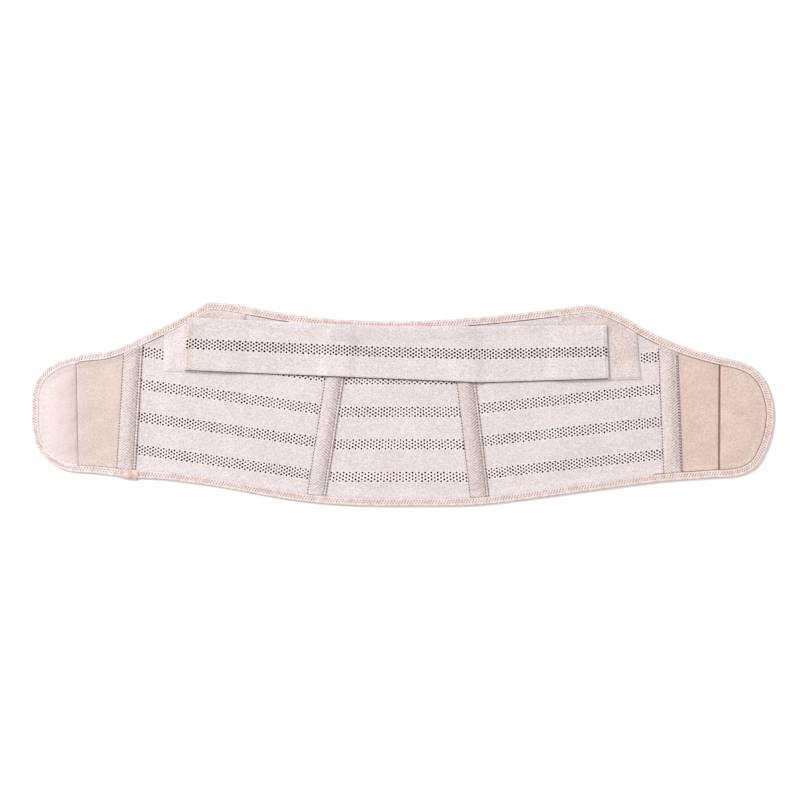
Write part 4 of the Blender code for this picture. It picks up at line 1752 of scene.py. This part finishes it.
@dataclass
class PullStrap:
    """The perforated strap with its hemmed ends, and what it lies on: two pads and two hook patches."""

    plan: BinderPlan
    long: float = 505.0 * MM
    wide: float = 64.0 * MM
    middle_x: float = -7.1 * MM
    middle_y: float = 62.5 * MM
    column: float = 3.3 * MM
    row: float = 2.05 * MM
    wall: float = 1.4 * MM
    hole_rows: int = 6
    plain_rows: int = 7
    selvedge_wide: float = 3.0 * MM
    shadow_cord_radius: float = 0.55 * MM
    hem: float = 0.7 * MM
    hem_wide: float = 5.0 * MM
    hem_stitch_at: float = 3.2 * MM
    hook_wall: float = 1.5 * MM
    hook_size: float = 40.0 * MM
    hook_back: float = 9.0 * MM
    pad_wall: float = 1.2 * MM
    pad_long: float = 88.5 * MM
    pad_show: float = 2.0 * MM
    pad_step: float = 1.7 * MM
    pad_rows: int = 46
    pad_guess: float = 90 * MM
    pad_edge: float = 4.5 * MM
    pad_sink: float = 0.12 * MM
    hook_rows: int = 26
    hook_knob: float = 0.25 * MM
    edge_lift: float = 0.6 * MM
    lift_wide: float = 7 * MM
    leans: tuple = (0.067, -0.045)
    run: tuple = ((0.0, 0.155, 0.985), (0.20, 0.085, 0.980), (0.46, 0.0, 0.980), (0.70, -0.044, 1.050),
                  (1.0, 0.005, 1.0))
    pads: dict = field(default_factory=lambda: {"left": (-0.643, (0.0, 0.150)),
                                                "right": (0.643, (-0.090, -0.150))})

    def middle(self, along: np.ndarray) -> tuple[np.ndarray, np.ndarray]:
        """Give the strap's middle height and its width at shares of its length.

        Args:
            along: Shares of the length.

        Returns:
            Heights across the binder, and widths.
        """
        shares = [r[0] for r in self.run]
        rise = np.interp(along, shares, [r[1] for r in self.run])
        wide = np.interp(along, shares, [r[2] for r in self.run])
        return self.middle_y + rise * self.wide, wide * self.wide

    def point(self, along: np.ndarray, up: np.ndarray) -> np.ndarray:
        """Give plan points of the strap.

        Args:
            along: Shares of its length.
            up: Shares of its width.

        Returns:
            The points, with x and y last.
        """
        middle, wide = self.middle(along)
        rise = (up - 0.5) * wide
        lean = self.leans[0] + (self.leans[1] - self.leans[0]) * along
        return np.stack([self.middle_x + (along - 0.5) * self.long + lean * rise, middle + rise], axis=-1)

    def pad_lines(self, side: str) -> list[np.ndarray]:
        """Give a pad's outer and inner lines, each from above the edge to below the strap.

        Args:
            side: Which pad.

        Returns:
            Two lines of two points.
        """
        place, leans = self.pads[side]
        lines = []
        for lean, x in zip(leans, (place * self.plan.half_long,
                                   place * self.plan.half_long + math.copysign(self.pad_long, -place))):
            share = min(1.0, max(0.0, (x - self.middle_x) / self.long + 0.5))
            middle, wide = self.middle(share)
            foot = middle - wide / 2 - self.pad_show
            tall = 2 * self.plan.half_tall
            lines.append(np.array([(x + lean * (y - foot), y) for y in (tall, foot)]))
        return lines

    def hook_corners(self, side: str) -> np.ndarray:
        """Give a hook patch's corners in plan, in order round it.

        Args:
            side: Which patch.

        Returns:
            The four corners.
        """
        near = self.hook_back / self.long
        far = near + self.hook_size / self.long
        shares = (near, far) if side == "left" else (1 - far, 1 - near)
        half = self.hook_size / self.wide / 2
        places = ((shares[0], 0.5 - half), (shares[1], 0.5 - half), (shares[1], 0.5 + half),
                  (shares[0], 0.5 + half))
        return np.array([self.point(np.array(a), np.array(u)) for a, u in places])

    @staticmethod
    def shape_distance(xy: np.ndarray, corners: np.ndarray) -> np.ndarray:
        """Give the distance of plan points from a convex shape, which is 0 on it.

        Args:
            xy: Plan points.
            corners: The shape's corners, in order.

        Returns:
            Distances.
        """
        nearest = np.full(xy.shape[:-1], np.inf)
        sides = []
        for start, end in zip(np.roll(corners, 1, axis=0), corners):
            run = end - start
            away = xy - start
            share = np.clip((away @ run) / (run @ run), 0, 1)
            nearest = np.minimum(nearest, np.linalg.norm(away - share[..., None] * run, axis=-1))
            sides.append(run[0] * away[..., 1] - run[1] * away[..., 0] > 0)
        inside = np.all(sides, axis=0) | ~np.any(sides, axis=0)
        return np.where(inside, 0.0, nearest)

    def rest_height(self, xy: np.ndarray) -> np.ndarray:
        """Give the strap's underside where it settles over what is below it.

        Args:
            xy: Plan points.

        Returns:
            Heights.
        """
        plan = self.plan
        distance = plan.edge_distance(xy)
        tape = plan.cloth + plan.gap + BoneTape.crown + BoneTape.wall
        pad = plan.cloth + plan.gap + self.pad_wall
        # The cloth leaves each thing under it over some length: stiff tape further than a soft pad.
        soft, crisp = (-3 * MM, 16 * MM), (0.0, 8 * MM)
        below = [(distance - plan.binding_deep, plan.binding_thick - plan.lift, (0.0, 14 * MM))]
        for name in ("outer_left", "inner_left", "inner_right", "outer_right"):
            aside = np.abs(xy[..., 0] - plan.seam_x(name, xy[..., 1])) - plan.tape_wide / 2
            below.append((aside, tape, soft))
        hook = pad + plan.gap + self.hook_wall
        for side in self.pads:
            outer, inner = self.pad_lines(side)
            below.append((self.shape_distance(xy, np.concatenate([outer, inner[::-1]])), pad, crisp))
            below.append((self.shape_distance(xy, self.hook_corners(side)), hook, (2 * MM, 30 * MM)))
        height = np.zeros(xy.shape[:-1])
        for away, level, (start, end) in below:
            height = np.maximum(height, (level - plan.cloth) * smooth_fall(away, start, end))
        return plan.bed(distance, 8 * MM) + plan.cloth + height + plan.gap

    def lifted(self, from_foot: np.ndarray) -> np.ndarray:
        """Give how much the strap's lower edge stands off at distances from it."""
        return self.edge_lift * smooth_fall(from_foot, 0.0, self.lift_wide)

    def build(self, materials: list[Material]) -> Piece:
        """Build the strap with its one stripe of holes.

        Args:
            materials: The cloth, the pits' near-black painted shade, its fainter variant, and the painted
                highlight on the yarn round each.

        Returns:
            The new object.
        """
        count = 2 * round(self.long / self.column) + 1
        along = np.linspace(0, 1, count)
        _, wide = self.middle(along)
        steps = self.hole_rows + 1
        half, edge = steps / 2 * self.row / wide, self.selvedge_wide / wide
        ups = [np.zeros(count), edge / 2, edge]
        ups += rows_between(edge, 0.5 - half, self.plain_rows)
        holes = HoleField.stagger(count, len(ups) - 1, steps)
        ups += rows_between(0.5 - half, 0.5 + half, steps)
        ups += rows_between(0.5 + half, 1 - edge, self.plain_rows)
        ups += [1 - edge / 2, np.ones(count)]
        up = np.stack(ups, axis=1)
        xy = self.point(along[:, None] + 0 * up, up)
        under = self.rest_height(xy) + self.lifted(up * wide[:, None])
        from_end = (np.minimum(along, 1 - along) * self.long)[:, None]
        from_side = (np.minimum(up, 1 - up) * wide[:, None])
        hemmed = smooth_fall(from_end, self.hem_wide, self.hem_wide + 1.2 * MM)
        over = under + self.wall + self.hem * hemmed
        over -= 0.45 * MM * bell(from_side, 1.1 * MM) + 0.35 * MM * bell(from_end, 0.9 * MM)
        over += 0.12 * MM * bell(from_side - self.selvedge_wide, 1.5 * MM)
        over += ripple(xy, 40 * MM, 31) * 0.12 * MM
        crease = np.sin((xy[..., 0] * 0.75 - xy[..., 1] * 0.66) / (6.5 * MM) * math.tau)
        over += 0.10 * MM * crease * smooth_fall(along * self.long, 4 * MM, 34 * MM)[:, None]
        piece = HoleField(radius=1.46 * MM, seed=9).sheet("strap_band", xy, under, over, holes, materials)
        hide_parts("strap")
        return piece

    def selvedge(self, material: Material) -> Piece:
        """Lay a dark cord along the strap's lower edge, painted shadow for the dark line of shade under
        it.

        Args:
            material: Its dark colour, the painted shadow.

        Returns:
            The new object.
        """
        along = np.linspace(0.002, 0.998, 240)
        xy = self.point(along, np.zeros(len(along)))
        high = self.rest_height(xy[:, None])[:, 0] + self.edge_lift + 0.45 * MM
        line = np.column_stack([xy - np.array([0.0, 0.4 * MM]), high])
        piece = make_thread("strap_shadow_cord", line, (0.0, 1.0), self.shadow_cord_radius, material)
        return piece

    def hem_stitches(self, thread: Material, needle: Material) -> Piece:
        """Sew the two hems of the strap.

        Args:
            thread: The thread.
            needle: The needle holes' shade.

        Returns:
            The new object.
        """
        lines = []
        inset = self.hem_stitch_at / self.long
        for along in (inset, 1 - inset):
            up = np.arange(0.03, 0.97, 1.6 * MM / self.wide)
            xy = self.point(np.full(len(up), along), up)
            high = self.rest_height(xy[:, None])[:, 0] + self.wall + self.hem
            high += self.lifted(up * self.wide) - THREAD_SINK
            lines.append(np.column_stack([xy, high]))
        row = StitchRow("strap_hem_stitches", thick=0.6 * MM, needle=0.45 * MM)
        piece = row.lay_lines(lines, thread, needle)
        return piece

    def build_pad(self, side: str, material: Material) -> Piece:
        """Build one landing pad of brushed loop.

        Args:
            side: Which pad.
            material: Its cloth.

        Returns:
            The new object.
        """
        plan = self.plan
        outer, inner = self.pad_lines(side)
        share = np.linspace(0, 1, int(self.pad_long / self.pad_step))
        head_line = outer[0] + (inner[0] - outer[0]) * share[:, None]
        foot_line = outer[1] + (inner[1] - outer[1]) * share[:, None]
        y = np.full(len(share), self.pad_guess)
        for _ in range(SETTLE_ROUNDS):
            part = (y - head_line[:, 1]) / (foot_line[:, 1] - head_line[:, 1])
            x = head_line[:, 0] + (foot_line[:, 0] - head_line[:, 0]) * part
            y = plan.edge_y(x, plan.binding_deep + plan.gap, True)
        head = np.stack([x, y], axis=1)
        xy = head[:, None] + (foot_line - head)[:, None] * np.linspace(0, 1, self.pad_rows)[None, :, None]
        near = np.minimum(share, 1 - share)[:, None] * self.pad_long
        down = np.linalg.norm(xy - foot_line[:, None], axis=2)
        edge = smooth_fall(np.minimum(near, down), 0.0, self.pad_edge)
        under = plan.bed(plan.edge_distance(xy)) + plan.cloth + plan.gap - self.pad_sink * edge
        over = under + self.pad_wall * (1 - 0.93 * edge) + ripple(xy, 9 * MM, 41) * 0.04 * MM * (1 - edge)
        piece = closed_sheet("landing_pad_" + side, xy, under, over, [material], np.abs(xy))
        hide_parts("pad_" + side)
        return piece

    def build_hook(self, side: str, material: Material) -> Piece:
        """Build one hook patch under an end of the strap.

        Args:
            side: Which end.
            material: Its finish.

        Returns:
            The new object.
        """
        plan = self.plan
        a, b, c, d = self.hook_corners(side)
        share = np.linspace(0, 1, self.hook_rows)
        s, t = share[:, None, None], share[None, :, None]
        xy = (a + (b - a) * s) * (1 - t) + (d + (c - d) * s) * t
        under = plan.bed(plan.edge_distance(xy)) + plan.cloth + plan.gap * 2 + self.pad_wall
        number = np.arange(self.hook_rows)
        knobs = (number[:, None] + number[None]) % 2 * self.hook_knob
        piece = closed_sheet("hook_patch_" + side, xy, under + knobs, under + self.hook_wall,
                             [material], xy)
        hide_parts("strap_hook_" + side)
        return piece


@dataclass
class PhotoStudio:
    """The pale table, the soft light from the upper left, and the camera straight above."""

    view_wide: float = 968.4 * MM
    lens: float = 100.0
    sensor: float = 36.0
    middle: tuple[float, float] = (0.9 * MM, 0.6 * MM)
    table_side: float = 40.0
    table_rows: int = 41
    table_level: float = -0.1 * MM
    room_strength: float = 0.74
    lamp_size: float = 2.0
    lamp_watts: float = 290.0
    lamp_place: tuple[float, float, float] = (-3.4, 3.1, 4.2)

    def build(self) -> None:
        """Build the table, the lights and the camera."""
        self.table()
        self.lights()
        self.camera()

    def table(self) -> None:
        """Lay the table, one wide flat sheet."""
        places = np.linspace(-1, 1, self.table_rows) * self.table_side / 2
        x, y = np.meshgrid(places, places, indexing="ij")
        mesh = bpy.data.meshes.new("table")
        verts = np.stack([x, y, np.full_like(x, self.table_level)], axis=2).reshape(-1, 3)
        mesh.from_pydata(verts.tolist(), [], grid_faces(self.table_rows, self.table_rows))
        mesh.materials.append(PaintedBoard("matt_white_board").build())
        board = bpy.data.objects.new("table", mesh)
        bpy.context.scene.collection.objects.link(board)

    def lights(self) -> None:
        """Hang one large soft light at the upper left and fill the room with white."""
        world = bpy.data.worlds.new("soft_room")
        world.use_nodes = True
        room = world.node_tree.nodes["Background"].inputs
        room["Color"].default_value = (1.0, 1.0, 1.0, 1.0)
        room["Strength"].default_value = self.room_strength
        bpy.context.scene.world = world
        lamp = bpy.data.lights.new("soft_box", "AREA")
        lamp.shape = "SQUARE"
        lamp.size = self.lamp_size
        lamp.energy = self.lamp_watts
        soft_box = bpy.data.objects.new("soft_box", lamp)
        soft_box.location = self.lamp_place
        soft_box.rotation_euler = (-soft_box.location).to_track_quat("-Z", "Y").to_euler()
        bpy.context.scene.collection.objects.link(soft_box)

    def camera(self) -> None:
        """Set the camera straight above, with the photograph's frame."""
        camera = bpy.data.cameras.new("camera")
        camera.lens = self.lens
        camera.sensor_width = self.sensor
        eye = bpy.data.objects.new("camera", camera)
        eye.location = (*self.middle, self.view_wide * self.lens / self.sensor)
        bpy.context.scene.collection.objects.link(eye)
        bpy.context.scene.camera = eye
        bpy.context.scene.view_settings.view_transform = "Standard"


def main() -> None:
    """Build the binder piece by piece, and its studio."""
    plan = BinderPlan(Vector(CAD_BOX[0]), Vector(CAD_BOX[1]))
    LOG.info("plan: %.1f mm round the edge", plan.around / MM)
    PhotoStudio().build()
    # Painted shade: the pits' near-black colours stand in for the shade inside the knitted holes.
    pits = [HoleShade("hole_painted_shade", "220F0C", "341D1A").build(),
            HoleShade("hole_painted_shade_faint", "7A5F5A", "977E79").build()]
    # Painted highlight: the paler knit round each hole stands in for the light that its bulged lip
    # catches.
    eyelet_highlight = ElasticKnit("eyelet_painted_highlight", "F6EAEA", "E2D3D3").build()
    knit = [ElasticKnit("panel_knit", "E2D7D7", "C8BDBD").build(), *pits, eyelet_highlight]
    PerforatedPanel(plan, "panel_left", "outer_left", "inner_left", 34.5 * MM, 1.5 * MM).build(knit)
    PerforatedPanel(plan, "panel_centre", "inner_left", "inner_right").build(knit)
    PerforatedPanel(plan, "panel_right", "inner_right", "outer_right", 2.5 * MM, 28.5 * MM).build(knit)
    # Each twill's second colour is painted shade, laid in the grooves between its ribs.
    tapes = {
        "outer_left": HerringboneTwill("twill_outer_left", "DED0CE", "A08D89"),
        "inner_left": HerringboneTwill("twill_inner_left", "E0D3D3", "A29090"),
        "inner_right": HerringboneTwill("twill_inner_right", "DACCCB", "9D8B87", facing=Chevron.DOWN),
        "outer_right": HerringboneTwill("twill_outer_right", "E1D3CF", "A4928D", margin=9.6 * MM,
                                        facing=Chevron.DOWN),
    }
    seam_thread = SpunThread("thread_brown", "A68C80", "876E63").build()
    zigzag_thread = SpunThread("thread_rose", "C4A599", "A8887B").build()
    # Painted shade: the needle holes' dark colour stands in for the shade inside them.
    needle = HoleShade("needle_hole_painted_shade", "5E4A41", "7A655B").build()
    below = {
        "outer_left": ("panel_left_knit",),
        "inner_left": ("panel_left_knit", "panel_centre_knit"),
        "inner_right": ("panel_centre_knit", "panel_right_knit"),
        "outer_right": ("panel_right_knit",),
    }
    for name, twill in tapes.items():
        tape = BoneTape(plan, name, twill.facing, margin=0.5 + twill.margin / plan.tape_wide,
                        below=below[name])
        tape.build(twill.build())
        tape.stitches(seam_thread, needle)
    # The loops' third colour is painted shade, in the seam grooves and by the left tab's seam.
    LoopWing(plan, "wing_left", "tab_left", "outer_left").build(
        BrushedLoop("loop_beige", "DBC9C2", "C3B0A8", "E6CCC6", 1.6 * MM).build(), "wing_left_loop")
    LoopWing(plan, "wing_right", "outer_right", "tab_right").build(
        BrushedLoop("loop_rose_beige", "DFC7BC", "C3A99D", "B08E80", 1.2 * MM).build(), "wing_right_loop")
    LoopTab(plan, "tab_left", "tab_left", True).build(
        BrushedLoop("loop_blush", "E9DCDA", "D9CAC8", "F1E9E8", 26.0 * MM, 24.0 * MM).build(),
        "tab_left_loop")
    LoopTab(plan, "tab_right", "tab_right", False, seam_flat=0.1).build(
        BrushedLoop("loop_peach", "DDC8BD", "C2A99D", "B89A8E", 1.2 * MM).build(), "tab_right_loop")
    lower, upper = plan.joins[1], plan.joins[0]
    pale_tape = FoldedTape("tape_pale", "ECDFDD", "D4C2BF").build()
    pale = FoldedBinding(plan, "binding_left_wing", lower, upper, narrow=0.2, plain_until=-0.39,
                         plain_above=True)
    pale.build([pale_tape], "binding_pale")
    pale.stitches(SpunThread("thread_blush", "D8C0BE", "BBA09C").build(), needle, "binding_pale")
    # Painted shadow: a dark tube stands in for the shade under the tape's inner edge.
    pale.ditch(SpunThread("shadow_line_grey", "BFAAA4", "A28D86").build(), "binding_pale")
    # Painted highlight: beside the left tab a pale raised tube stands in for the light on the rim of its
    # nap.
    pale.ditch(SpunThread("nap_painted_highlight", "F6ECEA", "EADEDC").build(), "tab_left_loop", in_shadow=False)
    # The lap is darker than either tape: partly the main tape's peach, partly painted shade for the bulky
    # wad.
    pale.lap(lower, FoldedTape("tape_lap", "E4D0C9", "C6ABA1", fold="FFFFFF").build())
    pale.loose_end(lower, zigzag_thread)
    peach = FoldedBinding(plan, "binding_main", upper, lower, plain_until=0.30)
    peach.build([FoldedTape("tape_peach", "E9D7D2", "D1BBB4").build()], "binding_peach")
    peach.stitches(zigzag_thread, needle, "binding_peach")
    # Painted shadow: a dark tube along the main binding's inner edge.
    peach.ditch(SpunThread("shadow_line_umber", "9A7F74", "7C655B").build(), "binding_peach")
    strap = PullStrap(plan)
    # Painted shade: the left pad's third colour darkens it a little where the strap lies over it, inward
    # of 252 mm from the middle.
    pads = {"left": BrushedLoop("loop_landing_left", "ECE0E2", "CFBFC1", "FAF3EF", 252 * MM, 6 * MM,
                                spread=0.17).build(),
            "right": BrushedLoop("loop_landing_right", "E7D8D5", "BDA9A5", spread=0.17).build()}
    hook = MouldedHook("hook_tape", "EFE9E5", "B9ADA6").build()
    for side, cloth in pads.items():
        strap.build_pad(side, cloth)
        strap.build_hook(side, hook)
    strap_knit = ElasticKnit("strap_knit", "E3D9D9", "C6BABA", backed="FFFAF4", backed_until=-246 * MM)
    strap.build([strap_knit.build(), *pits, eyelet_highlight])
    # Painted shadow: a dark cord stands in for the shade line under the strap's lower edge.
    strap.selvedge(SpunThread("painted_shadow_yarn", "6A4742", "432C2A").build())
    strap.hem_stitches(seam_thread, needle)


if __name__ == "__main__":
    logging.basicConfig(level=logging.INFO, format="%(name)s %(message)s")
    main()
